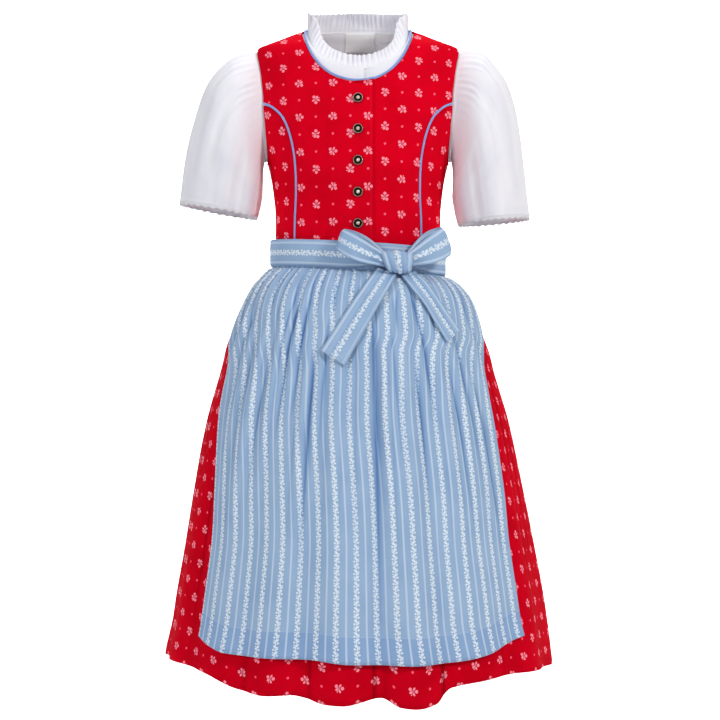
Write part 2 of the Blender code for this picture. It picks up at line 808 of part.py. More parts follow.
def neck_piping() -> None:
    """The piping round the neck, open where the right front laps over the left."""

    def neck_rows(lap: float) -> list[float]:
        first = math.asin(-lap / (NECK_HALF_WIDTH + NECK_SEAT))
        return [mix(first, 0.5 * math.pi, i / NECK_STEPS) for i in range(NECK_STEPS + 1)]

    def front_point(angle: float, raised: bool) -> Vector:
        turn, height = neck_edge(NECK_HALF_WIDTH, SHOULDER_POINT, NECK_DROP, angle, angle)(0.0)
        lift = lap_lift(torso_point(turn, height).x) + SEAM_GAP if raised else 0.0
        return on_torso(turn, height, PIPING_LIFT + lift)

    start = math.asin((RIGHT_FRONT_LAP + 1.2 * MM) / NECK_HALF_WIDTH)
    left_rows = [start] + [angle for angle in neck_rows(LEFT_FRONT_LAP) if angle > 1.2 * start]
    points = [front_point(angle, False) for angle in left_rows]
    for i in range(1, BACK_NECK_COLUMNS):
        turn = mix(0.5 * math.pi, 1.5 * math.pi, i / BACK_NECK_COLUMNS)
        height = back_neck_height(turn, SHOULDER_POINT, BACK_NECK)
        points.append(on_torso(turn, height, PIPING_LIFT))
    for angle in reversed(neck_rows(RIGHT_FRONT_LAP)):
        point = front_point(angle, True)
        points.append(Vector((-point.x, point.y, point.z)))
    tube("neck_piping", points, PIPING_RADIUS, "blue piping")


def seam_piping(name: str, side: int) -> None:
    """The piping in the curved seam of one front."""
    points = []
    for i in range(SEAM_STEPS + 1):
        share = min(max(i / SEAM_STEPS, 0.005), 0.99)
        point = on_torso(*front_seam_edge(share), PIPING_LIFT)
        points.append(Vector((side * point.x, point.y, point.z)))
    tube(name, points, PIPING_RADIUS, "blue piping")


# Buttons
def make_buttons() -> None:
    """Domed metal buttons down the middle of the upper front."""
    profile = ((0.0, 1.0), (0.36, 0.82), (0.53, 0.40), (0.76, 0.44), (0.90, 0.76), (1.0, 0.42),
               (0.95, 0.0), (0.0, 0.0))
    mesh = bpy.data.meshes.new("button")
    outline = bmesh.new()
    corners = [outline.verts.new((r * BUTTON_RADIUS, 0.0, h * BUTTON_HEIGHT)) for r, h in profile]
    for first, last in zip(corners, corners[1:]):
        outline.edges.new((first, last))
    outline.to_mesh(mesh)
    outline.free()
    mesh.materials.append(MATERIALS["old pewter"])
    for i in range(BUTTONS):
        button = bpy.data.objects.new(f"button_{i + 1}", mesh)
        DIRNDL.objects.link(button)
        screw = button.modifiers.new("turn", "SCREW")
        screw.steps = 12
        screw.render_steps = 12
        screw.use_merge_vertices = True
        screw.merge_threshold = 0.01 * MM
        height = FIRST_BUTTON - i * BUTTON_PITCH
        normal = torso_frame(0.0, height)[2]
        seat = on_torso(0.0, height, LAP_LIFT + SEAM_GAP + 0.1 * MM)
        facing = normal.to_track_quat("Z", "Y").to_matrix().to_4x4()
        button.matrix_world = Matrix.Translation(seat) @ facing


# The blouse
def blouse_neck_side(first: float) -> Edge:
    """The front neckline of the blouse from an angle to the shoulder."""
    return neck_edge(BLOUSE_NECK_HALF_WIDTH, BLOUSE_NECK_POINT, BLOUSE_NECK_DROP, first,
                     0.5 * math.pi)


def blouse_front(name: str, side: int, sunk: bool) -> None:
    """One front of the blouse, cropped under the bust; the left one lies under the right."""
    start_angle = math.asin(-BLOUSE_LAP / BLOUSE_NECK_HALF_WIDTH)
    neck = blouse_neck_side(start_angle)
    neck_bottom = neck(0.0)[1]
    lower_hole = armhole_edge(math.pi, 0.5 * math.pi, BLOUSE_ARMHOLE_GROWTH)
    upper_hole = armhole_edge(0.5 * math.pi, 0.0, BLOUSE_ARMHOLE_GROWTH)
    armpit, tip = lower_hole(0.0)[1], upper_hole(1.0)[1]
    lower_steps = 5
    steps = lower_steps + NECK_STEPS
    split = lower_steps / steps

    def lap_edge(share: float) -> tuple[float, float]:
        height = mix(BLOUSE_HEM, neck_bottom, share)
        return turn_at(-BLOUSE_LAP, height), height

    neck_corner = (side_turn(BLOUSE_NECK_POINT, SHOULDER_TRIM, False), BLOUSE_NECK_POINT)
    tip_corner = (side_turn(tip, SHOULDER_TRIM, False), tip)
    side_line = side_edge(BLOUSE_HEM, armpit, SIDE_TRIM, False)
    bottom = straight_edge((turn_at(-BLOUSE_LAP, BLOUSE_HEM), BLOUSE_HEM), side_line(0.0))
    top = straight_edge(neck_corner, tip_corner)
    left = joined(lap_edge, trimmed_end(neck, neck_corner), split)
    below = joined(side_line, lower_hole, 1.0 / lower_steps)
    right = joined(below, trimmed_end(upper_hole, tip_corner), split)
    patch = filled(bottom, top, left, right)
    sink = BLOUSE_LAP_SINK if sunk else 0.0

    def place(u: float, v: float) -> Vector:
        turn, height = patch(u, v)
        distance = torso_point(turn, height).x
        lapped = sink * smooth_step(distance, 30.0 * MM, 12.0 * MM)
        return under_layer(turn, height, BLOUSE_LIFT - lapped)

    cloth(name, 6, steps, mirrored(place, side), BLOUSE_WALL, "white batiste")


def neck_ring(around: float) -> tuple[float, float]:
    """Turn and height of the collar's foot, for an angle all round from the middle front."""
    turned = (around + math.pi) % (2.0 * math.pi) - math.pi
    if abs(turned) <= 0.5 * math.pi:
        height = BLOUSE_NECK_POINT - BLOUSE_NECK_DROP * math.cos(turned)
        half_width = BLOUSE_NECK_HALF_WIDTH - COLLAR_SEAT
        return turn_at(half_width * math.sin(turned), height), height
    return around, back_neck_height(abs(turned), BLOUSE_NECK_POINT, BLOUSE_BACK_NECK)


def collar_place(u: float, v: float) -> Vector:
    """A point of the gathered stand collar; u runs round the neck and v up the ruffle."""
    lap = COLLAR_LAP / BLOUSE_NECK_HALF_WIDTH
    around = mix(lap, 2.0 * math.pi + 0.3 * lap, u)
    turn, height = neck_ring(around)
    base = on_torso(turn, height, BLOUSE_LIFT - 0.5 * BLOUSE_WALL)
    outward = Vector((base.x, base.y, 0.0)).normalized()
    backness = 0.5 - 0.5 * math.cos(around)
    sideness = math.sin(around) ** 2
    rise = mix(COLLAR_HEIGHT_FRONT, COLLAR_HEIGHT_BACK, backness)
    lean = mix(mix(COLLAR_LEAN_FRONT, COLLAR_LEAN_SIDE, backness), COLLAR_LEAN_SIDE, sideness)
    wave = COLLAR_WAVE_HEIGHT * mix(0.05, 1.0, v) * math.cos(2.0 * math.pi * COLLAR_WAVES * u)
    under_lap = smooth_step(u, 0.04, 0.0) * 2.2 * COLLAR_WAVE_HEIGHT
    inward = lean * v - wave + under_lap
    return base + Vector((0.0, 0.0, COLLAR_SEAT + rise * v)) - outward * inward


def make_blouse_body() -> None:
    """Fronts, back, gathered collar and the two labels inside the neck."""
    blouse_front("blouse_front_right", -1, False)
    blouse_front("blouse_front_left", 1, True)
    back_panel("blouse_back", BLOUSE_HEM, BLOUSE_NECK_POINT, BLOUSE_BACK_NECK,
               BLOUSE_ARMHOLE_GROWTH,
               lambda turn, height: under_layer(turn, height, BLOUSE_BACK_LIFT),
               BLOUSE_WALL, "white batiste", 1)
    cloth("collar_ruffle", 3 * COLLAR_WAVES, 2, collar_place, BLOUSE_WALL, "white batiste", 0.0)


def label(name: str, left: float, right: float, bottom: float, top: float) -> None:
    """A blank label on the inside of the blouse's back, its sides in millimetres."""
    lift = BLOUSE_BACK_LIFT - BLOUSE_WALL - LABEL_GAP

    def place(u: float, v: float) -> Vector:
        height = mix(bottom, top, v) * MM
        turn = math.pi - turn_at(mix(right, left, u) * MM, height)
        return on_torso(turn, height, lift)

    cloth(name, 4, 3, place, BLOUSE_WALL, "woven label")


# Sleeves
def armhole_ring(angle: float, growth: float, lift: float) -> Vector:
    """A point of a ring that follows the armhole, larger or smaller than it."""
    turn, height = armhole_edge(angle, angle, growth)(0.0)
    return under_layer(turn, height, lift) if lift < 0.0 else on_torso(turn, height, lift)


def sleeve_place(rings: Table, side: int) -> Place:
    """The placing of one sleeve; u runs round it and v from the hem up to the armhole."""

    def place(u: float, v: float) -> Vector:
        share = 1.0 - v
        angle = 2.0 * math.pi * u
        outer_x, outer_z, inner_x, inner_z, depth = rings.at(share)
        centre = Vector((0.5 * (outer_x + inner_x), 0.0, 0.5 * (outer_z + inner_z)))
        reach = Vector((0.5 * (outer_x - inner_x), 0.0, 0.5 * (outer_z - inner_z)))
        swell = gather_swell(angle, share)
        across = depth + swell
        ring = centre + reach * ((1.0 + swell / reach.length) * math.cos(angle))
        ring.y = -across * math.sin(angle)
        if share < 0.045:
            return armhole_ring(angle, mix(SLEEVE_TUCK, -2.8 * MM, share / 0.03), SLEEVE_LIFT)
        hold = 1.0 - smooth_step(share, 0.03, 0.2)
        return ring.lerp(armhole_ring(angle, -5.6 * MM, 2.2 * MM), hold)

    return mirrored(place, side)


def gather_swell(angle: float, share: float) -> float:
    """How far gathers and soft folds push a sleeve out at an angle round it."""
    top = smooth_step(math.cos(angle), -0.3, 0.6)
    gathers = 1.5 * MM * math.cos(18.0 * angle) * top * smooth_step(share, 0.05, 0.12)
    gathers *= smooth_step(share, 0.62, 0.16)
    folds = 2.2 * MM * math.cos(7.0 * angle + 0.8) * smooth_step(share, 0.15, 0.7)
    return gathers + folds


def lace_place(rings: Table, side: int) -> Place:
    """The scalloped lace under one sleeve's hem."""
    sleeve = sleeve_place(rings, 1)

    def place(u: float, v: float) -> Vector:
        angle = 2.0 * math.pi * u
        hem = sleeve(u, 0.0)
        down = (hem - sleeve(u, 0.04)).normalized()
        scallop = 0.5 - 0.5 * math.cos(LACE_SCALLOPS * angle)
        drop = SEAM_GAP + 0.2 * MM + (1.0 - v) * LACE_DROP * mix(0.62, 1.0, scallop)
        return hem + down * drop

    return mirrored(place, side)


def make_sleeve(name: str, rows: Sequence[SleeveRing], side: int) -> None:
    """A puffed short sleeve and the lace at its hem."""
    rings = Table(rows, 1.0, MM)
    even = sleeve_place(rings, side)

    def place(u: float, v: float) -> Vector:
        return even(u, 1.0 - row_share(v, SLEEVE_ROWS[::-1]))

    cloth(f"sleeve_{name}", 28, len(SLEEVE_ROWS) - 1, place, BLOUSE_WALL, "white batiste", tube=True)
    cloth(f"sleeve_lace_{name}", 2 * LACE_SCALLOPS, 1, lace_place(rings, side), BLOUSE_WALL,
          "white batiste", tube=True)


# Skirt and apron
def skirt_point(turn: float, height: float, lift: float) -> Vector:
    """A point at a level distance outside the skirt's plain form."""
    half_width, front, back = SKIRT.at(height)
    depth = front if math.cos(turn) > 0.0 else back
    point = Vector((half_width * math.sin(turn), -depth * math.cos(turn), 0.0))
    normal = Vector((point.x / half_width ** 2, point.y / depth ** 2, 0.0)).normalized()
    point += normal * lift
    fall = (WAIST - height) / (WAIST - SKIRT_HEM_LINE.at(0.0)[0])
    tilt = WAIST_TILT * smooth_step(fall, 0.0, 0.03) * (1.0 - min(fall, 1.0)) ** 3
    point.z = height - tilt * point.x
    return point


def fold_lift(folds: Sequence[Fold], turn: float, fall: float) -> float:
    """How far the long folds push the skirt out; fall is 0 at the waist and 1 at the hem."""
    lift = 0.0
    for fold in folds:
        distance = (turn - fold.turn * DEGREE + math.pi) % (2.0 * math.pi) - math.pi
        ratio = distance / (fold.half_width * DEGREE)
        if abs(ratio) < 1.0:
            grown = smooth_step(fall, fold.start, 1.0) * 0.5 + 0.5 * max(fall - fold.start, 0.0)
            lift += fold.height * MM * (1.0 - ratio ** 2) ** 2 * grown
    return lift


def skirt_lift(turn: float, fall: float) -> float:
    """The long folds of the skirt about their mean, and its flare on the wearer's left."""
    flare = LEFT_FLARE * max(math.sin(turn), 0.0) ** 2
    flare *= smooth_step(fall, 0.04, 0.10) * smooth_step(fall, 0.32, 0.14)
    return fold_lift(SKIRT_FOLDS, turn, fall) + flare - 3.5 * MM * fall


def gather(turn_share: float, count: int, fall: float, height: float) -> float:
    """A row of gathers under a seam, uneven in height and length; never below zero."""
    phase = turn_share * count
    number = math.floor(phase + 0.5)
    height *= 0.75 + 0.25 * math.sin(1.7 * number + 0.6)
    length = 0.16 + 0.10 * math.sin(2.3 * number) ** 2
    return height * (0.5 + 0.5 * math.cos(2.0 * math.pi * phase)) * smooth_step(fall, length, 0.0)


def skirt_height(turn: float, fall: float) -> float:
    """Height of the skirt at a share of the way down to its hem."""
    turned = (turn + math.pi) % (2.0 * math.pi) - math.pi
    return mix(WAIST - 0.5 * SEAM_GAP, SKIRT_HEM_LINE.at(turned)[0], fall)


def skirt_half(name: str, middle: float, columns: int, gathers: int) -> None:
    """The front or the back of the skirt, between its side seams."""
    fall_rows = SKIRT_ROWS[::-1]
    trim = 0.6 * MM / SKIRT.at(WAIST)[0]

    def place(u: float, v: float) -> Vector:
        fall = row_share(v, fall_rows)
        turn = middle + mix(-0.5 * math.pi + trim, 0.5 * math.pi - trim, u)
        lift = skirt_lift(turn, fall)
        if gathers and fall > 0.03:
            lift += gather(u, gathers, fall, SKIRT_GATHER_HEIGHT)
        return skirt_point(turn, skirt_height(turn, fall), lift)

    cloth(name, columns, len(SKIRT_ROWS) - 1, place, DRESS_WALL, "red cotton")


def apron_clearance(fall: float) -> float:
    """Distance from the skirt's form to the apron's outer face, before gathers and creases."""
    return mix(3.6 * MM, 7.0 * MM, smooth_step(fall, 0.0, 0.35))


def apron_place(u: float, v: float) -> Vector:
    """A point of the apron; u runs from its right edge to its left and v from hem to band."""
    fall = row_share(v, APRON_ROWS[::-1])
    hem_turn = mix(-APRON_EDGES[0].right, APRON_EDGES[0].left, u) * DEGREE
    hem = APRON_HEM_LINE.at(hem_turn)[0]
    height = mix(BAND_BOTTOM - SEAM_GAP - 0.9 * MM, hem, fall)
    right, left = APRON_EDGE_LINE.at(height)
    turn = mix(-right, left, u)
    skirt_fall = (WAIST - height) / (WAIST - SKIRT_HEM_LINE.at(turn)[0])
    lift = apron_clearance(fall) + skirt_lift(turn, skirt_fall)
    lift += gather(u, APRON_GATHERS, fall, APRON_GATHER_HEIGHT)
    for crease in APRON_CREASES:
        ratio = (turn - crease.turn * DEGREE) / (crease.half_width * DEGREE)
        if abs(ratio) < 1.0:
            depth = smooth_step(fall, 0.04, 0.2) * smooth_step(fall, crease.start, 0.3 * crease.start)
            lift += crease.height * MM * (1.0 - ratio ** 2) ** 2 * depth
    return skirt_point(turn, height, lift)


# Band, ties and bow
def waist_strip(turn: float, height: float, lift: float) -> Vector:
    """A point of the band or a tie round the waist, tilted a little down to the wearer's left."""
    half_width, front, back = TORSO.at(0.5 * (BAND_TOP + BAND_BOTTOM))
    depth = front if math.cos(turn) > 0.0 else back
    point = Vector((half_width * math.sin(turn), -depth * math.cos(turn), 0.0))
    normal = Vector((point.x / half_width ** 2, point.y / depth ** 2, 0.0)).normalized()
    point += normal * lift
    point.z = height - WAIST_TILT * point.x
    return point


def make_band() -> None:
    """The apron's waistband across the front."""

    def place(u: float, v: float) -> Vector:
        turn = mix(-BAND_TURN, BAND_TURN, u)
        return waist_strip(turn, mix(BAND_BOTTOM, BAND_TOP, v), BAND_LIFT)

    cloth("apron_band", 28, 1, place, APRON_WALL, "blue stripe")


def tie(name: str, first: float, last: float, over: float) -> None:
    """A tie wrapped round the waist, narrowing towards the knot; turns in degrees run upwards."""
    middle = 0.5 * (BAND_TOP + BAND_BOTTOM) + 0.5 * MM

    def place(u: float, v: float) -> Vector:
        turn = mix(first, last, u) * DEGREE
        near = min(abs(turn - KNOT_TURN), abs(turn - KNOT_TURN - 2.0 * math.pi))
        half = 0.5 * TIE_HEIGHT * mix(0.55, 1.0, smooth_step(near, 0.1, 0.7))
        drop = TIE_DROP * smooth_step(near, 0.9, 0.1)
        behind = smooth_step(abs(turn), 160.0 * DEGREE, 175.0 * DEGREE)
        lift = TIE_LIFT + over * behind * TIE_LAYER
        return waist_strip(turn, middle - drop + mix(-half, half, v), lift)

    cloth(name, 28, 1, place, APRON_WALL, "blue stripe")


def bow_loop(loop: BowLoop) -> None:
    """One loop of the bow: a strap that runs out, turns and comes back behind itself."""
    knot_top, knot_bottom = Vector(loop.knot_top) * MM, Vector(loop.knot_bottom) * MM
    end_top, end_bottom = Vector(loop.end_top) * MM, Vector(loop.end_bottom) * MM
    outward = (end_top + end_bottom) - (knot_top + knot_bottom)
    facing = outward.cross(end_top - end_bottom).normalized()
    if facing.y > 0.0:
        facing = -facing

    def place(u: float, v: float) -> Vector:
        angle = math.pi * mix(0.015, 0.985, u)
        reach = math.sin(angle) ** 0.8
        near = mix_points(knot_bottom, knot_top, v)
        far = mix_points(end_bottom, end_top, v)
        point = mix_points(near, far, reach)
        point += facing * (loop.puff * MM * math.sin(2.0 * angle) * 0.75 + 1.5 * MM * math.cos(angle))
        behind = smooth_step(u, 0.5, 0.62) * math.sin(math.pi * reach)
        point.z += 4.0 * MM * behind
        pinch = 1.6 * MM * (1.0 - reach) * math.cos(3.0 * math.pi * v)
        return point + facing * pinch

    cloth(loop.name, 16, 3, place, APRON_WALL, "blue stripe", 0.0)


def mix_points(first: Vector, second: Vector, share: float) -> Vector:
    """The point a share of the way from the first to the second."""
    return first + (second - first) * share


def apron_front(x: float, z: float) -> float:
    """Y of the plain outer form of the apron's front at a place seen from the front."""
    height = min(z, BAND_BOTTOM - 1.0 * MM)
    half_width, front, _ = SKIRT.at(height)
    share = (BAND_BOTTOM - height) / (BAND_BOTTOM - APRON_HEM_LINE.at(0.0)[0])
    lift = apron_clearance(share)
    sine = min(abs(x) / (half_width + lift), 0.98)
    return -(front + lift) * math.sqrt(1.0 - sine * sine)


def bow_tail(name: str, stations: Sequence[TailStation], sway: float) -> None:
    """One hanging end of the bow, which lies on the apron."""
    line = Table([(i / (len(stations) - 1), *row) for i, row in enumerate(stations)], 1.0, MM)

    def place(u: float, v: float) -> Vector:
        share = 1.0 - v
        start_x, start_z, end_x, end_z = line.at(share)
        x, z = mix(start_x, end_x, u), mix(start_z, end_z, u)
        rest = apron_front(x, z) - mix(6.6 * MM, 3.4 * MM, smooth_step(share, 0.4, 1.0))
        wave = 1.4 * MM * math.sin(2.0 * math.pi * u + sway) * smooth_step(share, 0.0, 0.4)
        y = mix(min(rest, -86.0 * MM), rest, smooth_step(share, 0.0, 0.2)) - abs(wave)
        return Vector((x, y, z))

    cloth(name, 4, 8, place, APRON_WALL, "blue stripe", 1.0)


def squared(value: float) -> float:
    """The value from -1 to 1 pushed outwards, which turns a ball into a cushion."""
    return math.copysign(abs(value) ** 0.62, value)


def bow_knot() -> None:
    """The knot: a cushion of cloth wound from top to bottom, with two soft pleats in it."""
    mesh = bpy.data.meshes.new("bow_knot")
    lump = bmesh.new()
    bmesh.ops.create_uvsphere(lump, u_segments=18, v_segments=8, radius=1.0)
    for vertex in lump.verts:
        x, y, z = (squared(value) for value in vertex.co)
        y *= 1.0 + KNOT_PLEAT * math.cos(3.0 * math.pi * x)
        corner = Vector((x - 0.14 * z, y, z - 0.07 * x))
        vertex.co = Vector([0.5 * MM * KNOT_SIZE[i] * corner[i] for i in range(3)])
    lump.to_mesh(mesh)
    lump.free()
    mesh.shade_smooth()
    add_object("bow_knot", mesh, "blue stripe").location = Vector(KNOT_CENTRE) * MM


def make_skirt_and_apron() -> None:
    """Everything below the waist, and what is tied round it."""
    skirt_half("skirt_front", 0.0, 42, 0)
    skirt_half("skirt_back", math.pi, 3 * SKIRT_GATHERS, SKIRT_GATHERS)
    cloth("apron_skirt", 3 * APRON_GATHERS, len(APRON_ROWS) - 1, apron_place, APRON_WALL,
          "blue stripe")
    make_band()
    tie("tie_left", 33.0, 178.0, 0.0)
    tie("tie_right", -194.0, 15.0, 1.0)
    for loop in BOW_LOOPS:
        bow_loop(loop)
    bow_tail("bow_tail_right", RIGHT_TAIL, 0.6)
    bow_tail("bow_tail_left", LEFT_TAIL, 2.2)
    bow_knot()


def clear_scene() -> None:
    """Remove what the new scene starts with."""
    for item in list(bpy.data.objects):
        bpy.data.objects.remove(item, do_unlink=True)


def main() -> None:
    """Build the whole dirndl."""
    make_blouse_body()
    label("neck_label", -19.0, 24.0, -5.0, 19.0)
    label("size_tab", 28.0, 43.0, 8.0, 17.5)
    make_sleeve("right", RIGHT_SLEEVE, -1)
    make_sleeve("left", LEFT_SLEEVE, 1)
    make_bodice()
    neck_piping()
    seam_piping("seam_piping_right", -1)
    seam_piping("seam_piping_left", 1)
    make_buttons()
    make_skirt_and_apron()


clear_scene()
DIRNDL = bpy.data.collections.new("dirndl")
bpy.context.scene.collection.children.link(DIRNDL)
MATERIALS = {name: make_material(name) for name in FINISHES}
main()
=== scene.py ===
"""How a child's dirndl looks: red dress, white blouse and light blue apron tied in a bow.

The clothes are filled out with no wearer in them. Units are metres with +Z up; the front faces
-Y and the wearer's right side is at -X. Tables hold millimetres and degrees.
"""
import logging
from dataclasses import dataclass, field
from enum import Enum
from functools import lru_cache
from math import asin, copysign, cos, hypot, pi, sin, sqrt
from typing import Callable, NamedTuple, Sequence

import bmesh
import bpy
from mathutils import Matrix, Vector


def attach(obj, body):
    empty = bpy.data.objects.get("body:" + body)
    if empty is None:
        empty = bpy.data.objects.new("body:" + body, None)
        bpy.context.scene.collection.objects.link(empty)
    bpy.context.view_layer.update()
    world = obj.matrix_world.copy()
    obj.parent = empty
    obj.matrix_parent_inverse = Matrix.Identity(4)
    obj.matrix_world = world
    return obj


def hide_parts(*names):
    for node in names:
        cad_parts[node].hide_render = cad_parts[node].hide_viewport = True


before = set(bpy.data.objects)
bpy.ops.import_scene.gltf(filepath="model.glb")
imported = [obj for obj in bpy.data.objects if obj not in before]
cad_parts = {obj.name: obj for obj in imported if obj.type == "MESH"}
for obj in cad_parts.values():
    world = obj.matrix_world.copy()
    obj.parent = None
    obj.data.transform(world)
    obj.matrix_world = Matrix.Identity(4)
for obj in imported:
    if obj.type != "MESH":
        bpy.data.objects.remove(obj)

logging.basicConfig(level=logging.INFO, format="%(message)s")
LOG = logging.getLogger("dirndl")

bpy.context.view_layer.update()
MM = 0.001
DEGREE = pi / 180.0
FULL_TURN = 2.0 * pi
QUARTER_TURN = FULL_TURN / 4.0

Pair = tuple[float, float]
Triple = tuple[float, float, float]
Edge = Callable[[float], Pair]
Place = Callable[[float, float], Vector]
Print = Callable[[float, float], Pair]
Item = bpy.types.Object
Material = bpy.types.Material
Socket = bpy.types.NodeSocket

# Walls and gaps, as in the solids
DRESS_WALL = 1.4 * MM
BLOUSE_WALL = 1.0 * MM
APRON_WALL = 1.2 * MM
SEAM_GAP = 0.3 * MM
LAYER_GAP = 0.8 * MM
PIPING_RADIUS = 1.55 * MM
PIPING_SEAT = PIPING_RADIUS + SEAM_GAP + 0.1 * MM
NECK_SEAT = PIPING_SEAT + 0.7 * MM
PIPING_LIFT = -0.3 * MM
SHOULDER_TRIM = 0.06 * MM
SIDE_TRIM = 0.06 * MM
TRIM_FADE = 16

# Heights and widths of the body that several pieces share
SHOULDER_POINT = 13.0 * MM
SHOULDER_TIP = -12.0 * MM
WAIST = -291.0 * MM
NECK_HALF_WIDTH = 70.0 * MM
NECK_DROP = 78.0 * MM
BACK_NECK = 10.0 * MM
ARMHOLE_CENTRE = -89.0 * MM
ARMHOLE_HALF_HEIGHT = 77.0 * MM
ARMHOLE_HALF_DEPTH = 130.0 * MM
ARMHOLE_FRONT_REACH = 30.0 * DEGREE
ARMHOLE_BACK_REACH = 26.0 * DEGREE
RIGHT_FRONT_LAP = 20.0 * MM
LEFT_FRONT_LAP = 14.0 * MM
LAP_LIFT = DRESS_WALL + LAYER_GAP
LAP_START = 42.0 * MM
BLOUSE_LIFT = -3.3 * MM
BLOUSE_BACK_LIFT = -3.9 * MM
SHOULDER_SINK = 1.6 * MM
WAIST_TILT = 0.056
BAND_TOP = -273.0 * MM
BAND_BOTTOM = -309.0 * MM
BAND_LIFT = 3.5 * MM + APRON_WALL
STRAP_WIDTH = 32.0 * MM
SKIRT_BOTTOM = -0.83
APRON_BOTTOM = -0.79
BLOUSE_FRONTS = ("blouse_front_right", "blouse_front_left")


class Slot(Enum):
    """The record's material slots."""

    RED = "red_cotton"
    WHITE = "white_batiste"
    LACE = "white_lace"
    LABEL = "woven_label"
    PIPING = "blue_piping"
    PEWTER = "old_pewter"
    BLUE = "blue_stripe"


class Held(Enum):
    """How a sheet of cloth is held."""

    HUNG = "hung"
    GATHERED = "gathered"
    FOLDED = "folded"
    STRETCHED = "stretched"


def entries(kind: type, rows: Sequence[Sequence[float]]) -> tuple:
    """The rows of a table, each as one entry of its kind."""
    return tuple(kind(*row) for row in rows)


class Section(NamedTuple):
    """One level section of the body: height and half sizes in millimetres."""

    height: float
    half_width: float
    front: float
    back: float


TORSO_SECTIONS = entries(Section, (
    (-300, 111, 75, 69), (-270, 109.5, 76, 68), (-240, 109.5, 79, 70), (-200, 113, 84, 75),
    (-166, 120, 87, 80), (-150, 126, 87, 81), (-120, 137, 85, 82), (-90, 143, 81, 81),
    (-64, 143, 75, 79), (-45, 141, 70, 76), (-30, 139, 64, 73), (-20, 137, 58, 71),
    (-12, 132, 52, 69), (-6, 118, 46, 67), (0, 102, 38, 65), (6, 88, 29, 63), (13, 70, 14, 60),
    (24, 60, 7, 57),
))

SKIRT_SECTIONS = entries(Section, (
    (-860, 259, 226, 227), (-825, 255, 222, 223), (-745, 245, 211, 211), (-665, 231, 197, 196),
    (-585, 216, 182, 180), (-505, 200, 165, 162), (-439, 181.5, 146, 144), (-412, 175, 138, 136),
    (-392, 167, 130, 128), (-359, 149.6, 115.2, 113.2), (-333, 132, 102.5, 98.5),
    (-319, 119, 89.6, 85.1), (-310, 111, 75.8, 69.4), (-300, 110.7, 75.3, 68.9),
    (-291, 110.6, 75.2, 68.8),
))

# The curved front seam: height and distance from the middle
FRONT_SEAM = (
    (-300, 83), (-264, 82.6), (-239, 82), (-216, 80.7), (-192, 80.5),
    (-169, 81.7), (-147, 85), (-128, 90), (-111, 97.5), (-101, 106),
    (-95, 113.5), (-90, 123.6),
)
SEAM_ROWS = (-291, -250, -205, -170, -146, -127, -112, -101, -95, -90)

# Hems: height at a turn from the middle front
SKIRT_HEM = (
    (-180, -832), (-150, -836), (-120, -826), (-92, -816), (-70, -812),
    (-48, -818), (-36, -832), (-27, -837), (-18, -834.5), (-14.5, -837),
    (-9, -843), (-4, -844), (6.5, -836), (11.5, -847), (16, -849),
    (22, -845), (27, -828), (36, -823), (51, -820), (66, -822),
    (84, -826), (120, -834), (150, -838), (180, -832),
)
APRON_HEM = (
    (-56, -770), (-47, -782), (-40, -789), (-29, -790.5), (-13, -790),
    (-2, -794), (16, -796.5), (27, -796), (39, -790), (50, -778.5),
    (58, -772),
)
# Turns of the apron's right and left edges at a height
APRON_EDGES = (
    (-800, 53.8, 56.6), (-745, 52.2, 54.2), (-665, 52.5, 54.3), (-585, 56, 56.3),
    (-505, 60.5, 57.5), (-439, 64.5, 61.5), (-412, 69, 65), (-392, 74, 72),
    (-359, 82, 79), (-335, 86, 84), (-309, 88, 88),
)


class Fold(NamedTuple):
    """A long fold: turn and half width in degrees, height in millimetres (below zero sinks
    in), and the shares of the way down where it starts and ends."""

    turn: float
    half_width: float
    height: float
    start: float
    end: float = 1.0

    def ratio(self, turn: float) -> float:
        """How far a turn lies from the middle of the fold, as a share of its half width."""
        return wrapped(turn - self.turn * DEGREE) / (self.half_width * DEGREE)


SKIRT_FOLDS = entries(Fold, (
    (-168, 14, 11, 0.05), (-142, 13, 9, 0.12), (-117, 13, 11, 0.04), (-92, 12, 7, 0.15),
    (-69, 12, 8, 0.1), (-45, 12, 7, 0.2), (-25, 9, 6, 0.25), (-4.5, 11, 12, 0.1),
    (15.8, 9.5, 14, 0.12), (37, 11, 6, 0.25), (61, 12, 8, 0.12), (87, 12, 7, 0.15),
    (112, 13, 10, 0.06), (138, 13, 9, 0.12), (165, 14, 11, 0.05),
))

# Smaller folds of the red skirt, which run part of the way only
SKIRT_CREASES = entries(Fold, (
    (-158, 3.4, -2.2, 0.05, 0.62), (-149, 2.8, -1.6, 0.1, 0.45), (-131, 3.6, -2.4, 0.02, 0.7),
    (-124, 2.6, 1.6, 0.05, 0.4), (-108, 3.2, -2, 0.03, 0.55), (-99, 2.6, 1.5, 0.08, 0.85),
    (-83, 3, -1.8, 0.05, 0.6), (-74, 2.2, 1.2, 0.3, 0.95), (-60, 3.2, -1.6, 0.25, 1.1),
    (-52, 2.4, 1.1, 0.55, 1.2), (-34, 2.6, -1.4, 0.6, 1.2), (-13.5, 2.2, -2, 0.7, 1.2),
    (4.6, 2, -2.4, 0.66, 1.3), (24.6, 1.8, -2.2, 0.7, 1.3), (47, 2.8, -1.4, 0.58, 1.2),
    (69, 3, -1.7, 0.2, 1.1), (77, 2.4, 1.2, 0.34, 0.9), (95, 3, -1.8, 0.05, 0.7),
    (103, 2.4, 1.5, 0.08, 0.5), (120, 3.2, -2.1, 0.03, 0.66), (129, 2.6, 1.4, 0.05, 0.4),
    (147, 3.4, -2.3, 0.04, 0.58), (156, 2.6, 1.6, 0.1, 0.45), (176, 3.4, -2.3, 0.03, 0.75),
))

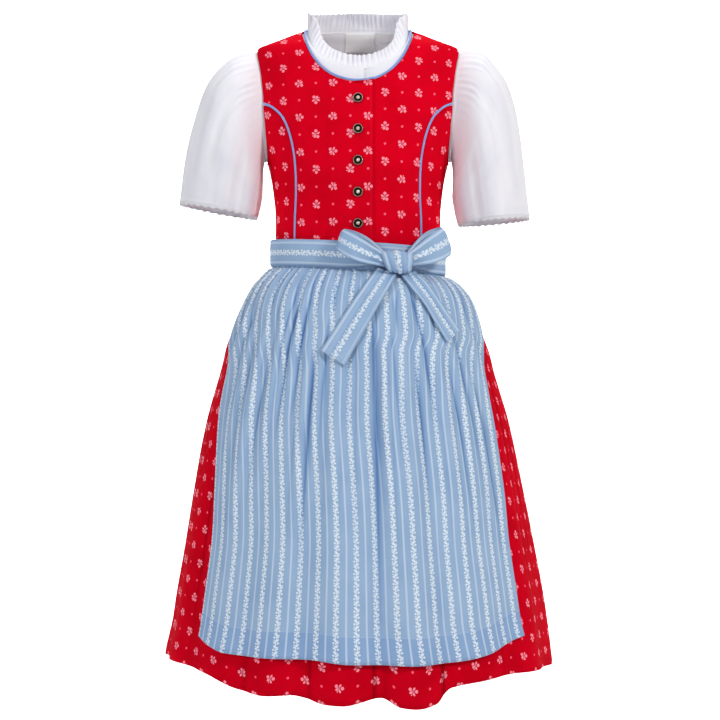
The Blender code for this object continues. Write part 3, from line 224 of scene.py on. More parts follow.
# The apron's long troughs and ridges below its gathers
APRON_CREASES = entries(Fold, (
    (-66, 4, -2.6, 0, 0.4), (-61, 3.2, 2.4, 0.04, 0.55), (-56, 2.8, -2.8, 0.05, 0.5),
    (-51.5, 2.4, 2.2, 0.1, 0.8), (-48, 2.4, -2.6, 0.16, 0.7), (-43.5, 3, 3.4, 0.1, 0.95),
    (-38.6, 2.8, -4.4, 0.22, 0.72), (-34.4, 2.6, 2.8, 0.12, 0.75), (-33, 2.2, -4.2, 0.02, 0.42),
    (-29.6, 2.2, -6, 0.03, 0.52), (-27, 1.8, 2.8, 0.02, 0.4), (-24.2, 2.2, -5.6, 0.02, 0.48),
    (-20.4, 2.2, 3.8, 0.14, 0.9), (-17.6, 2.2, -4.8, 0.2, 0.88), (-15.2, 1.9, 2.6, 0.16, 0.66),
    (-12.9, 1.8, -3.2, 0.08, 0.52), (-8.4, 3, 3.2, 0.12, 1), (-3.6, 2.4, -2.6, 0.08, 0.6),
    (1.6, 2.8, 3.8, 0.12, 1.1), (6.4, 2.8, -7, 0.08, 0.98), (9.8, 2.4, 4.4, 0.12, 0.96),
    (14.4, 2.4, -3, 0.12, 0.64), (18.4, 2.6, 3.4, 0.16, 1.05), (23.2, 2.6, -6, 0.2, 0.74),
    (26, 1.9, 2.8, 0.16, 0.64), (28.6, 2.6, -6.2, 0.02, 0.46), (33.4, 3, 3.6, 0.14, 1),
    (39, 2.4, -4.8, 0.22, 0.8), (42.4, 2, 3, 0.16, 0.76), (45.8, 2, -3.6, 0.1, 0.62),
    (48.6, 1.9, 2.4, 0.2, 1), (51.2, 2, -3.8, 0.26, 0.95), (56, 3, 2.2, 0.1, 0.6),
    (62, 4, -2.6, 0, 0.4),
))


class Gather(NamedTuple):
    """One gather of the apron: its place and half width as shares of the apron's width, its
    height in millimetres, and the share of the way down where it has faded out."""

    place: float
    half_width: float
    height: float
    end: float


APRON_GATHERS = entries(Gather, (
    (0.014, 0.016, 4.2, 0.2), (0.043, 0.017, 5.2, 0.28), (0.071, 0.014, 3.6, 0.14),
    (0.103, 0.019, 5.6, 0.33), (0.134, 0.015, 4, 0.17), (0.16, 0.015, 5, 0.24),
    (0.194, 0.019, 5.4, 0.3), (0.222, 0.013, 3.4, 0.12), (0.249, 0.016, 5.2, 0.26),
    (0.284, 0.02, 5.8, 0.38), (0.315, 0.014, 3.8, 0.15), (0.343, 0.017, 5, 0.22),
    (0.374, 0.016, 4.4, 0.19), (0.409, 0.02, 5.6, 0.31), (0.438, 0.013, 3.6, 0.13),
    (0.466, 0.017, 4.8, 0.24), (0.498, 0.017, 5.2, 0.2), (0.531, 0.018, 5.6, 0.36),
    (0.56, 0.014, 3.8, 0.15), (0.591, 0.018, 5.2, 0.27), (0.62, 0.014, 4.2, 0.17),
    (0.652, 0.02, 5.8, 0.4), (0.683, 0.014, 3.6, 0.12), (0.711, 0.017, 5.2, 0.28),
    (0.742, 0.016, 4.2, 0.18), (0.776, 0.02, 5.6, 0.34), (0.806, 0.014, 3.8, 0.14),
    (0.833, 0.016, 4.8, 0.22), (0.866, 0.019, 5.4, 0.3), (0.895, 0.014, 3.6, 0.13),
    (0.923, 0.017, 5, 0.25), (0.953, 0.016, 4.4, 0.18), (0.984, 0.017, 5, 0.24),
))


class CollarStation(NamedTuple):
    """The stand collar at an angle in degrees from the middle front: how high its top edge
    stands over its seam, how far it leans in, how far its foot reaches down and how far it is
    spread out, in millimetres."""

    turn: float
    rise: float
    lean: float
    depth: float
    spread: float


COLLAR_STATIONS = entries(CollarStation, (
    (0, 15.8, 7, 3.2, 0), (25, 15.2, 8, 3.2, 0.4), (40, 12.5, 12, 6, 2.4), (50, 11, 14, 9, 3.4),
    (58, 9.5, 15, 10, 3.8), (65, 11.5, 15, 10, 4), (72, 15.5, 15, 9, 4.2), (80, 18.5, 12, 7, 4.4),
    (90, 20, 3, 5, 4.6), (110, 21.5, 1, 3.2, 4), (135, 23, 2.5, 3.2, 2.6), (180, 22.5, 4.5, 3.2, 1.8),
))


class Crease(NamedTuple):
    """A soft trough or ridge in a fitted piece: middle, length and half width in millimetres
    over the cloth, its height (below zero sinks in) and its lie in degrees from level."""

    across: float
    up: float
    length: float
    half_width: float
    height: float
    lie: float


FRONT_CREASES = entries(Crease, (
    (-62, -258, 52, 9, -0.8, 64), (-40, -268, 34, 7, -0.7, 78), (66, -256, 50, 9, -0.8, -62),
    (34, -266, 40, 8, 0.7, -80), (100, -212, 44, 9, -0.8, -14), (-101, -206, 46, 9, -0.8, 12),
    (-104, -238, 40, 7, 0.8, 8), (103, -246, 38, 7, 0.8, -10), (-66, -16, 40, 9, -0.7, -36),
    (68, -18, 38, 9, -0.7, 40), (-94, -58, 38, 8, 0.7, -72), (92, -60, 40, 8, 0.7, 70),
    (-36, -128, 64, 15, -0.6, 14), (44, -152, 70, 16, -0.6, -16), (-58, -176, 54, 12, 0.6, -18),
    (60, -112, 50, 12, 0.6, 22), (-118, -150, 46, 10, -0.7, 34), (116, -154, 44, 10, -0.7, -36),
))
BACK_CREASES = entries(Crease, (
    (-58, -250, 60, 9, -0.8, 70), (52, -244, 56, 10, -0.8, -68), (-12, -262, 48, 8, 0.8, 84),
    (24, -256, 42, 8, -0.7, -86), (-96, -206, 44, 9, -0.8, 16), (98, -214, 46, 9, -0.8, -14),
    (-64, -64, 66, 12, 0.7, -58), (62, -68, 60, 12, 0.7, 60), (-20, -98, 80, 14, -0.6, 8),
    (18, -150, 84, 15, -0.6, -9), (-70, -150, 54, 11, -0.7, 30), (74, -142, 52, 11, -0.7, -28),
    (0, -30, 90, 12, -0.6, 3),
))


class SleeveRing(NamedTuple):
    """One ring of a sleeve: share of its length, its outer and inner points and its half
    depth in millimetres, on the side where X is positive."""

    share: float
    outer_x: float
    outer_z: float
    inner_x: float
    inner_z: float
    half_depth: float


RIGHT_SLEEVE = entries(SleeveRing, (
    (0, 137, -16, 121, -163, 41), (0.06, 146, -17.5, 126, -163.5, 46),
    (0.14, 159, -22, 127, -172, 54), (0.26, 178, -36, 127, -181, 63),
    (0.42, 200, -66, 127.5, -192, 70), (0.6, 214, -107, 128.5, -205, 71),
    (0.8, 227, -160, 131, -219, 64), (1, 236, -216.5, 134.5, -235.5, 55),
))
LEFT_SLEEVE = entries(SleeveRing, (
    (0, 136, -14, 121, -161, 41), (0.06, 147, -11, 126, -162, 46), (0.14, 161, -15, 127, -171, 54),
    (0.26, 178, -33, 127, -181, 63), (0.42, 197, -63, 127, -193, 70), (0.6, 210, -110, 127, -206, 71),
    (0.8, 218, -170, 130, -224, 64), (1, 227, -236, 134, -244, 55),
))

# Soft folds down a sleeve: turn round it from its top, half width, height, start and end
SLEEVE_FOLDS = entries(Fold, (
    (12, 15, 2.4, 0.1, 0.95), (34, 9, -2, 0.06, 0.62), (52, 13, 2.2, 0.14, 0.9),
    (71, 10, -2.4, 0.1, 0.8), (93, 15, 2.3, 0.22, 1.1), (118, 12, -2.2, 0.3, 1.1),
    (142, 14, 2, 0.3, 1.1), (168, 12, -1.8, 0.35, 1.1), (196, 14, 2.2, 0.32, 1.1),
    (222, 12, -2, 0.25, 1), (247, 14, 2.4, 0.2, 1.1), (271, 11, -2.2, 0.12, 0.85),
    (294, 13, 2, 0.1, 0.9), (316, 9, -2.2, 0.06, 0.6), (338, 13, 2.2, 0.08, 0.92),
    (357, 8, -1.6, 0.05, 0.5),
))


class BowLoopShape(NamedTuple):
    """A loop of the bow: its corners at the knot and at its far end, millimetres."""

    name: str
    knot_top: Triple
    knot_bottom: Triple
    end_top: Triple
    end_bottom: Triple
    puff: float
    length: float


BOW_LOOPS = (
    BowLoopShape("bow_loop_right", (36.1, -89, -291), (36.6, -89, -305),
                 (-20, -99, -257), (-29, -97, -284), 9, 0.132),
    BowLoopShape("bow_loop_left", (65.1, -86, -289), (65.6, -84, -304),
                 (110, -62, -252), (123, -58, -287), 9, 0.136),
)

# Both edges of the bow's tails as seen from the front: start x, start z, end x, end z
RIGHT_TAIL = (
    (25.5, -306.6, 50, -316.6), (9.5, -329, 38, -337), (-4.5, -349, 24, -361),
    (-24, -379, 4, -397), (-46.6, -414, -16.4, -433),
)
LEFT_TAIL = (
    (56, -317.6, 73, -311.2), (69, -335, 86.5, -324), (84, -354, 99, -342),
    (98, -378, 114, -364), (113.4, -403, 130, -388),
)


def monotone_slopes(keys: Sequence[float], values: Sequence[float]) -> list[float]:
    """Find the slopes of a smooth curve that never overshoots its points.

    Args:
        keys: rising places along the curve.
        values: the curve's values at those places.

    Returns:
        The slope at each place.
    """
    steps = [(values[i + 1] - values[i]) / (keys[i + 1] - keys[i]) for i in range(len(keys) - 1)]
    slopes = [steps[0]]
    for before, after in zip(steps, steps[1:]):
        same_way = before * after > 0.0
        slopes.append(2.0 * before * after / (before + after) if same_way else 0.0)
    slopes.append(steps[-1])
    return slopes


class Table:
    """Rows of numbers joined by smooth curves over their first column."""

    def __init__(self, rows: Sequence[Sequence[float]], key_unit: float, value_unit: float) -> None:
        """Keep the rows in metres or radians and find the curves' slopes.

        Args:
            rows: the rows, each with its key first.
            key_unit: size of the keys' unit.
            value_unit: size of the values' unit.
        """
        self.keys = [row[0] * key_unit for row in rows]
        self.columns = [[row[i] * value_unit for row in rows] for i in range(1, len(rows[0]))]
        self.slopes = [monotone_slopes(self.keys, column) for column in self.columns]

    @lru_cache(maxsize=200000)
    def at(self, key: float) -> tuple[float, ...]:
        """Find every column's value at a key.

        Args:
            key: the place, which is held within the table.

        Returns:
            One value for each column.
        """
        keys = self.keys
        key = min(max(key, keys[0]), keys[-1])
        i = 0
        while i < len(keys) - 2 and key > keys[i + 1]:
            i += 1
        span = keys[i + 1] - keys[i]
        t = (key - keys[i]) / span
        found = []
        for column, slopes in zip(self.columns, self.slopes):
            rise = (2.0 * t ** 3 - 3.0 * t ** 2 + 1.0) * column[i]
            rise += (3.0 * t ** 2 - 2.0 * t ** 3) * column[i + 1]
            rise += (t ** 3 - 2.0 * t ** 2 + t) * span * slopes[i]
            rise += (t ** 3 - t ** 2) * span * slopes[i + 1]
            found.append(rise)
        return tuple(found)


TORSO = Table(TORSO_SECTIONS, MM, MM)
SKIRT = Table(SKIRT_SECTIONS, MM, MM)
SEAM = Table(FRONT_SEAM, MM, MM)
SKIRT_HEM_LINE = Table(SKIRT_HEM, DEGREE, MM)
APRON_HEM_LINE = Table(APRON_HEM, DEGREE, MM)
APRON_EDGE_LINE = Table(APRON_EDGES, MM, DEGREE)
COLLAR = Table(COLLAR_STATIONS, DEGREE, MM)


def smooth_step(value: float, low: float, high: float) -> float:
    """0 below low, 1 above high and a soft rise between them; low may be above high."""
    t = min(max((value - low) / (high - low), 0.0), 1.0)
    return t * t * (3.0 - 2.0 * t)


def mix(first: float, second: float, share: float) -> float:
    """The value a share of the way from the first to the second."""
    return first + (second - first) * share


def hump(ratio: float) -> float:
    """A soft hump: 1 in the middle and 0 from -1 down and from 1 up."""
    return (1.0 - ratio * ratio) ** 2 if abs(ratio) < 1.0 else 0.0


def bead(ratio: float) -> float:
    """A full round ridge, steep at its sides, so that two side by side meet in a sharp crease."""
    return (1.0 - ratio * ratio) ** 0.7 if abs(ratio) < 1.0 else 0.0


def groove(ratio: float) -> float:
    """A crease: sharp in its middle and soft at its sides."""
    return (1.0 - abs(ratio)) ** 1.7 if abs(ratio) < 1.0 else 0.0


def wrapped(turn: float) -> float:
    """The turn brought between minus and plus half a turn."""
    return (turn + pi) % FULL_TURN - pi


def ellipse_arc(half_width: float, depth: float, turn: float) -> float:
    """Measure along an ellipse from the middle front.

    Args:
        half_width: half size across.
        depth: half size from front to back.
        turn: angle up to which to measure.

    Returns:
        The length of the arc, below zero where the turn is.
    """
    total = 0.0
    for node, weight in ((-0.8611363, 0.3478548), (-0.3399810, 0.6521452),
                         (0.3399810, 0.6521452), (0.8611363, 0.3478548)):
        angle = 0.5 * turn * (1.0 + node)
        total += weight * hypot(half_width * cos(angle), depth * sin(angle))
    return 0.5 * turn * total


def torso_point(turn: float, height: float) -> Vector:
    """A point of the torso, at a turn from the middle front towards +X.

    Args:
        turn: angle from the middle front towards +X.
        height: height of the point.

    Returns:
        The point.
    """
    half_width, front, back = TORSO.at(height)
    depth = front if cos(turn) > 0.0 else back
    return Vector((half_width * sin(turn), -depth * cos(turn), height))


def torso_frame(turn: float, height: float) -> tuple[Vector, Vector, Vector]:
    """Find how the torso's surface lies at a point.

    Args:
        turn: angle from the middle front.
        height: height of the point.

    Returns:
        Its movement for each radian of turn, for each metre of height, and its normal.
    """
    small = 0.0005
    around = (torso_point(turn + small, height) - torso_point(turn - small, height)) / (2 * small)
    small = 0.0002
    upward = (torso_point(turn, height + small) - torso_point(turn, height - small)) / (2 * small)
    return around, upward, around.cross(upward).normalized()


def on_torso(turn: float, height: float, lift: float) -> Vector:
    """A point at a distance outside the torso, or inside it where lift is below zero."""
    return torso_point(turn, height) + torso_frame(turn, height)[2] * lift


def turn_at(distance: float, height: float) -> float:
    """The turn at which the front of the torso lies a distance from the middle."""
    return asin(min(max(distance / TORSO.at(height)[0], -1.0), 1.0))


def rise_table(column: int) -> Table:
    """Measure up the middle of the torso, so that the print follows the cloth.

    Args:
        column: 1 for the front's depth, 2 for the back's.

    Returns:
        A table from height to the distance up the cloth.
    """
    rows = []
    total = 0.0
    low, step = -0.30, 0.003
    for i in range(109):
        height = low + step * i
        change = TORSO.at(height + step)[column] - TORSO.at(height)[column]
        rows.append((height, total))
        total += hypot(step, change)
    base = next(value for height, value in rows if height > WAIST)
    return Table([(height, value - base + WAIST) for height, value in rows], 1.0, 1.0)


FRONT_RISE = rise_table(1)
BACK_RISE = rise_table(2)


def torso_cloth(turn: float, height: float) -> Pair:
    """Where a point of the torso lies on the cloth: across from the middle, and up.

    Args:
        turn: angle from the middle front towards +X.
        height: height of the point.

    Returns:
        Across and up, in metres.
    """
    half_width, front, back = TORSO.at(height)
    if cos(turn) > 0.0:
        return ellipse_arc(half_width, front, turn), FRONT_RISE.at(height)[0]
    return ellipse_arc(half_width, back, turn - pi), BACK_RISE.at(height)[0]


def crease_lift(turn: float, height: float) -> float:
    """How far the soft creases of the bodice raise the cloth at a point.

    Args:
        turn: angle from the middle front towards +X.
        height: height of the point.

    Returns:
        The lift, below zero in a trough.
    """
    across, _ = torso_cloth(turn, height)
    creases = FRONT_CREASES if cos(turn) > 0.0 else BACK_CREASES
    lift = 0.0
    for crease in creases:
        x, z = across / MM - crease.across, height / MM - crease.up
        cosine, sine = cos(crease.lie * DEGREE), sin(crease.lie * DEGREE)
        along, off = x * cosine + z * sine, z * cosine - x * sine
        lift += crease.height * MM * hump(2.0 * along / crease.length) * hump(off / crease.half_width)
    edge = smooth_step(abs(cos(turn)), 0.0, 0.12)
    return lift * edge


# Edges of the torso's pieces, each a turn and a height for a share from 0 to 1
def shifted(edge: Edge, distance: float) -> Edge:
    """The edge moved to its left over the torso's surface by a distance.

    Args:
        edge: the edge to move.
        distance: how far to move it.

    Returns:
        The moved edge.
    """

    def moved(share: float) -> Pair:
        """A point of the moved edge.

        Args:
            share: share of the way along.

        Returns:
            Its turn and height.
        """
        small = 0.002
        turn, height = edge(share)
        first, last = edge(max(share - small, 0.0)), edge(min(share + small, 1.0))
        around, upward, _ = torso_frame(turn, height)
        run = (last[0] - first[0]) * around.length
        rise = (last[1] - first[1]) * upward.length
        length = hypot(run, rise)
        turn -= distance * rise / length / around.length
        height += distance * run / length / upward.length
        return turn, height

    return moved


def joined(first: Edge, second: Edge, share: float) -> Edge:
    """One edge made of two, which meet at a share of the whole."""
    return lambda t: first(t / share) if t <= share else second((t - share) / (1.0 - share))


def neck_edge(half_width: float, point: float, drop: float, first: float, last: float) -> Edge:
    """The front neckline between two angles, from 0 at the middle to 90 degrees at the side.

    Args:
        half_width: half the neckline's width.
        point: height of its ends.
        drop: depth of its middle below them.
        first: angle where it starts.
        last: angle where it ends.

    Returns:
        The edge.
    """

    def edge(share: float) -> Pair:
        """A point of the neckline.

        Args:
            share: share of the way along.

        Returns:
            Its turn and height.
        """
        angle = mix(first, last, share)
        height = point - drop * cos(angle)
        return turn_at(half_width * sin(angle), height), height

    return edge


def armhole_edge(first: float, last: float, growth: float = 0.0) -> Edge:
    """The armhole between two angles: 0 is the shoulder tip, 90 degrees the front of it.

    Args:
        first: angle where it starts.
        last: angle where it ends.
        growth: how much larger it is on all sides.

    Returns:
        The edge.
    """

    def edge(share: float) -> Pair:
        """A point of the armhole.

        Args:
            share: share of the way along.

        Returns:
            Its turn and height.
        """
        angle = mix(first, last, share)
        reach = ARMHOLE_FRONT_REACH if sin(angle) > 0.0 else ARMHOLE_BACK_REACH
        turn = QUARTER_TURN - (reach + growth / ARMHOLE_HALF_DEPTH) * sin(angle)
        return turn, ARMHOLE_CENTRE + (ARMHOLE_HALF_HEIGHT + growth) * cos(angle)

    return edge


def side_turn(height: float, trim: float, behind: bool) -> float:
    """The turn of the side or shoulder line, trimmed back towards the front or the back.

    Args:
        height: height of the point.
        trim: how far it stands back from the line.
        behind: whether it is on the back.

    Returns:
        The turn.
    """
    _, front, back = TORSO.at(height)
    if behind:
        return QUARTER_TURN + asin(trim / back)
    return QUARTER_TURN - asin(trim / front)


def side_edge(first: float, last: float, trim: float, behind: bool) -> Edge:
    """A stretch of the side or shoulder line between two heights.

    Args:
        first: height where it starts.
        last: height where it ends.
        trim: how far it stands back from the line.
        behind: whether it is on the back.

    Returns:
        The edge.
    """

    def edge(share: float) -> Pair:
        """A point of the side line."""
        height = mix(first, last, share)
        return side_turn(height, trim, behind), height

    return edge


def front_seam_edge(share: float) -> Pair:
    """The curved seam of the front from the waist up.

    Args:
        share: share of the way along.

    Returns:
        Its turn and height.
    """
    place = share * (len(SEAM_ROWS) - 1)
    row = min(int(place), len(SEAM_ROWS) - 2)
    height = mix(SEAM_ROWS[row], SEAM_ROWS[row + 1], place - row) * MM
    return turn_at(SEAM.at(height)[0], height), height


def straight_edge(first: Pair, last: Pair) -> Edge:
    """The edge that runs evenly from one turn and height to another."""
    return lambda share: (mix(first[0], last[0], share), mix(first[1], last[1], share))


def trimmed_end(edge: Edge, corner: Pair) -> Edge:
    """The edge with its last point moved to a corner, and the points before it less and less.

    Args:
        edge: the edge to move.
        corner: turn and height of the corner.

    Returns:
        The edge with its new end.
    """
    last = edge(1.0)
    gap = (corner[0] - last[0], corner[1] - last[1])

    def moved(share: float) -> Pair:
        """A point of the edge with its new end."""
        turn, height = edge(share)
        return turn + gap[0] * share ** TRIM_FADE, height + gap[1] * share ** TRIM_FADE

    return moved


def filled(bottom: Edge, top: Edge, left: Edge, right: Edge) -> Edge:
    """A patch filled between four edges, as a function of its two shares.

    Args:
        bottom: the lower edge.
        top: the upper edge.
        left: the edge on the left.
        right: the edge on the right.

    Returns:
        The patch.
    """
    bottom, top, left, right = (lru_cache(maxsize=None)(edge) for edge in (bottom, top, left, right))
    corner_00, corner_10 = bottom(0.0), bottom(1.0)
    corner_01, corner_11 = top(0.0), top(1.0)

    def inside(u: float, v: float) -> Pair:
        """A point inside the four edges.

        Args:
            u: share of the way across.
            v: share of the way up.

        Returns:
            Turn and height.
        """
        found = []
        for i in (0, 1):
            across = mix(left(v)[i], right(v)[i], u)
            along = mix(bottom(u)[i], top(u)[i], v)
            corners = mix(mix(corner_00[i], corner_10[i], u), mix(corner_01[i], corner_11[i], u), v)
            found.append(across + along - corners)
        return found[0], found[1]

    return inside


def lap_lift(distance: float) -> float:
    """How far the upper front is raised over the lower one at a distance from the middle."""
    return LAP_LIFT * smooth_step(distance, LAP_START, LAP_START * 0.4)


def under_layer(turn: float, height: float, lift: float) -> Vector:
    """A point of the blouse's layer, which lies deeper where the shoulders bend most.

    Args:
        turn: angle from the middle front towards +X.
        height: height of the point.
        lift: distance outside the form.

    Returns:
        The point.
    """
    distance = abs(torso_point(turn, height).x)
    sink = smooth_step(distance, 80.0 * MM, 108.0 * MM) * smooth_step(height, -60.0 * MM, -25.0 * MM)
    return on_torso(turn, height, lift - SHOULDER_SINK * sink)


def back_neck_height(turn: float, side_height: float, middle_height: float) -> float:
    """Height of a back neckline at a turn between 90 and 270 degrees."""
    return mix(side_height, middle_height, sin(turn - QUARTER_TURN) ** 2)


# Shaders
def linear(colour: str) -> tuple[float, float, float, float]:
    """Turn a colour as a screen shows it into the shader's linear values.

    Args:
        colour: sRGB as "#rrggbb".

    Returns:
        Linear red, green and blue, and a full alpha.
    """
    parts = [int(colour[i:i + 2], 16) / 255.0 for i in (1, 3, 5)]
    red, green, blue = (c / 12.92 if c <= 0.04045 else ((c + 0.055) / 1.055) ** 2.4 for c in parts)
    return red, green, blue, 1.0


class Signal:
    """A number that varies over the cloth; its arithmetic becomes Math nodes."""

    def __init__(self, shader: "Shader", socket: Socket) -> None:
        """Keep the socket and the shader that it belongs to."""
        self.shader = shader
        self.socket = socket

    def math(self, operation: str, *values: object) -> "Signal":
        """This number put through one Math node, with further values."""
        return Signal(self.shader, self.shader.add("Math", [self, *values], operation=operation))

    def __add__(self, other: object) -> "Signal":
        """The sum with a number or signal."""
        return self.math("ADD", other)

    def __sub__(self, other: object) -> "Signal":
        """The difference from a number or signal."""
        return self.math("SUBTRACT", other)

    def __mul__(self, other: object) -> "Signal":
        """The product with a number or signal."""
        return self.math("MULTIPLY", other)

    def step(self, low: float, high: float, bottom: float = 0.0, top: float = 1.0) -> "Signal":
        """A soft step from bottom to top between two values of this number.

        Args:
            low: where the step starts.
            high: where the step ends.
            bottom: value below the step.
            top: value above the step.

        Returns:
            The stepped number.
        """
        found = self.shader.add("MapRange", [self, low, high, bottom, top],
                                interpolation_type="SMOOTHSTEP")
        return Signal(self.shader, found)


class Shader:
    """A material's node tree, with one way to add a node to it."""

    def __init__(self, name: str) -> None:
        """Start an empty material with a Principled shader.

        Args:
            name: its name.
        """
        self.material = bpy.data.materials.new(name)
        self.material.use_nodes = True
        self.tree = self.material.node_tree
        self.surface = self.tree.nodes["Principled BSDF"]

    def add(self, kind: str, inputs: object = (), out: int | str = 0, **settings: object) -> Socket:
        """Add one node with its settings, values and links.

        Args:
            kind: the node's type without its ShaderNode prefix.
            inputs: values, sockets or signals, in order or by input name or number.
            out: which output is wanted.
            **settings: the node's own settings.

        Returns:
            The wanted output.
        """
        node = self.tree.nodes.new("ShaderNode" + kind)
        for key, value in settings.items():
            setattr(node, key, value)
        pairs = inputs.items() if isinstance(inputs, dict) else enumerate(inputs)
        for key, value in pairs:
            value = value.socket if isinstance(value, Signal) else value
            if isinstance(value, Socket):
                self.tree.links.new(value, node.inputs[key])
            elif value is not None:
                node.inputs[key].default_value = value
        return node.outputs[out]

    def cloth(self) -> tuple[Signal, Signal]:
        """The place on the flat cloth in millimetres: across it and along it.

        Returns:
            The two places.
        """
        flat = self.add("UVMap", uv_map="cloth")
        scaled = self.add("VectorMath", {0: flat, 3: 1.0 / MM}, operation="SCALE")
        return (Signal(self, self.add("SeparateXYZ", [scaled], out=0)),
                Signal(self, self.add("SeparateXYZ", [scaled], out=1)))

    def noise(self, place: object, scale: float, detail: float = 2.0) -> Signal:
        """A cloudy pattern over a place, which is a socket or a list of two coordinates."""
        place = self.add("CombineXYZ", [*place, 0.0]) if isinstance(place, list) else place
        return Signal(self, self.add("TexNoise", {"Vector": place, "Scale": scale, "Detail": detail}))

    def layered(self, ground: object, *layers: tuple[object, str], how: str = "MIX") -> Socket:
        """Lay colours over a ground one after another.

        Args:
            ground: the first colour, as "#rrggbb" or a socket.
            *layers: for each further colour its share and its value as "#rrggbb".
            how: how it is mixed into what is under it.

        Returns:
            The colour of them all.
        """
        colour = linear(ground) if isinstance(ground, str) else ground
        for share, over in layers:
            colour = self.add("Mix", {0: share, 6: colour, 7: linear(over)}, out=2, data_type="RGBA",
                              blend_type=how)
        return colour

    def painted_shade_in_hollows(self, colour: object, tint: str) -> Socket:
        """The colour with shade painted into the hollows of the folds, as deep as noted at each point."""
        painted_shade = self.add("Attribute", out="Fac", attribute_name="painted_shade")
        return self.layered(colour, (painted_shade, tint), how="MULTIPLY")

    def finish(self, colour: object, roughness: object, height: object, depth: float,
               **plain: object) -> Material:
        """Link colour, roughness and relief, and set the shader's plain values.

        Args:
            colour: base colour.
            roughness: roughness.
            height: the relief, in millimetres.
            depth: share of the relief that is used.
            **plain: further inputs of the shader, with _ for a space.

        Returns:
            The finished material.
        """
        raised = self.add("Bump", {"Strength": depth, "Distance": MM, "Height": height})
        for name, value in (("Base Color", colour), ("Roughness", roughness), ("Normal", raised)):
            value = value.socket if isinstance(value, Signal) else value
            if isinstance(value, Socket):
                self.tree.links.new(value, self.surface.inputs[name])
            else:
                self.surface.inputs[name].default_value = value
        for name, value in plain.items():
            self.surface.inputs[name.replace("_", " ")].default_value = value
        return self.material


class Spot(NamedTuple):
    """An oval spot of a print: middle and half sizes in millimetres, and its lie in degrees."""

    x: float
    y: float
    half_length: float
    half_width: float
    lie: float = 0.0


class Stitch(NamedTuple):
    """A line of stitches in the cloth: whether it runs along it, and where it lies, in mm."""

    along: bool
    place: float


def spot_reach(shader: Shader, place: Socket, spot: Spot) -> tuple[Signal, object]:
    """How far inside an oval spot a place lies.

    Args:
        shader: the shader to add to.
        place: the place in millimetres.
        spot: the spot.

    Returns:
        1 in the spot's middle and 0 on its rim, and the place within the spot.
    """
    local = shader.add("Mapping", {0: place, 1: (spot.x, spot.y, 0.0), 2: (0.0, 0.0, spot.lie * DEGREE),
                                   3: (spot.half_length, spot.half_width, 1.0)}, vector_type="TEXTURE")
    length = Signal(shader, shader.add("VectorMath", {0: local}, out="Value", operation="LENGTH"))
    return length * -1.0 + 1.0, local


def plain_weave(shader: Shader, across: Signal, along: Signal, pitch: float) -> Signal:
    """The relief of a plain weave, threads a pitch apart in millimetres."""
    wave = FULL_TURN / (2.0 * pitch)
    return (across * wave).math("SINE") * (along * wave).math("SINE")


def stitch_mask(shader: Shader, across: Signal, along: Signal, stitches: Sequence[Stitch]) -> Signal:
    """Where stitches show, 1 in a thread and 0 beside it.

    Args:
        shader: the shader to add to; it is not used.
        across: place across the cloth.
        along: place along the cloth.
        stitches: the lines of stitches.

    Returns:
        The mask.
    """
    pitch, half_thread = 2.8, 0.32
    total = across * 0.0
    for stitch in stitches:
        off, run = (across, along) if stitch.along else (along, across)
        near = (off - stitch.place).math("ABSOLUTE").step(half_thread * 1.4, half_thread * 0.5)
        dash = (run * (FULL_TURN / pitch)).math("SINE").step(-0.75, -0.45)
        total = total.math("MAXIMUM", near * dash)
    return total


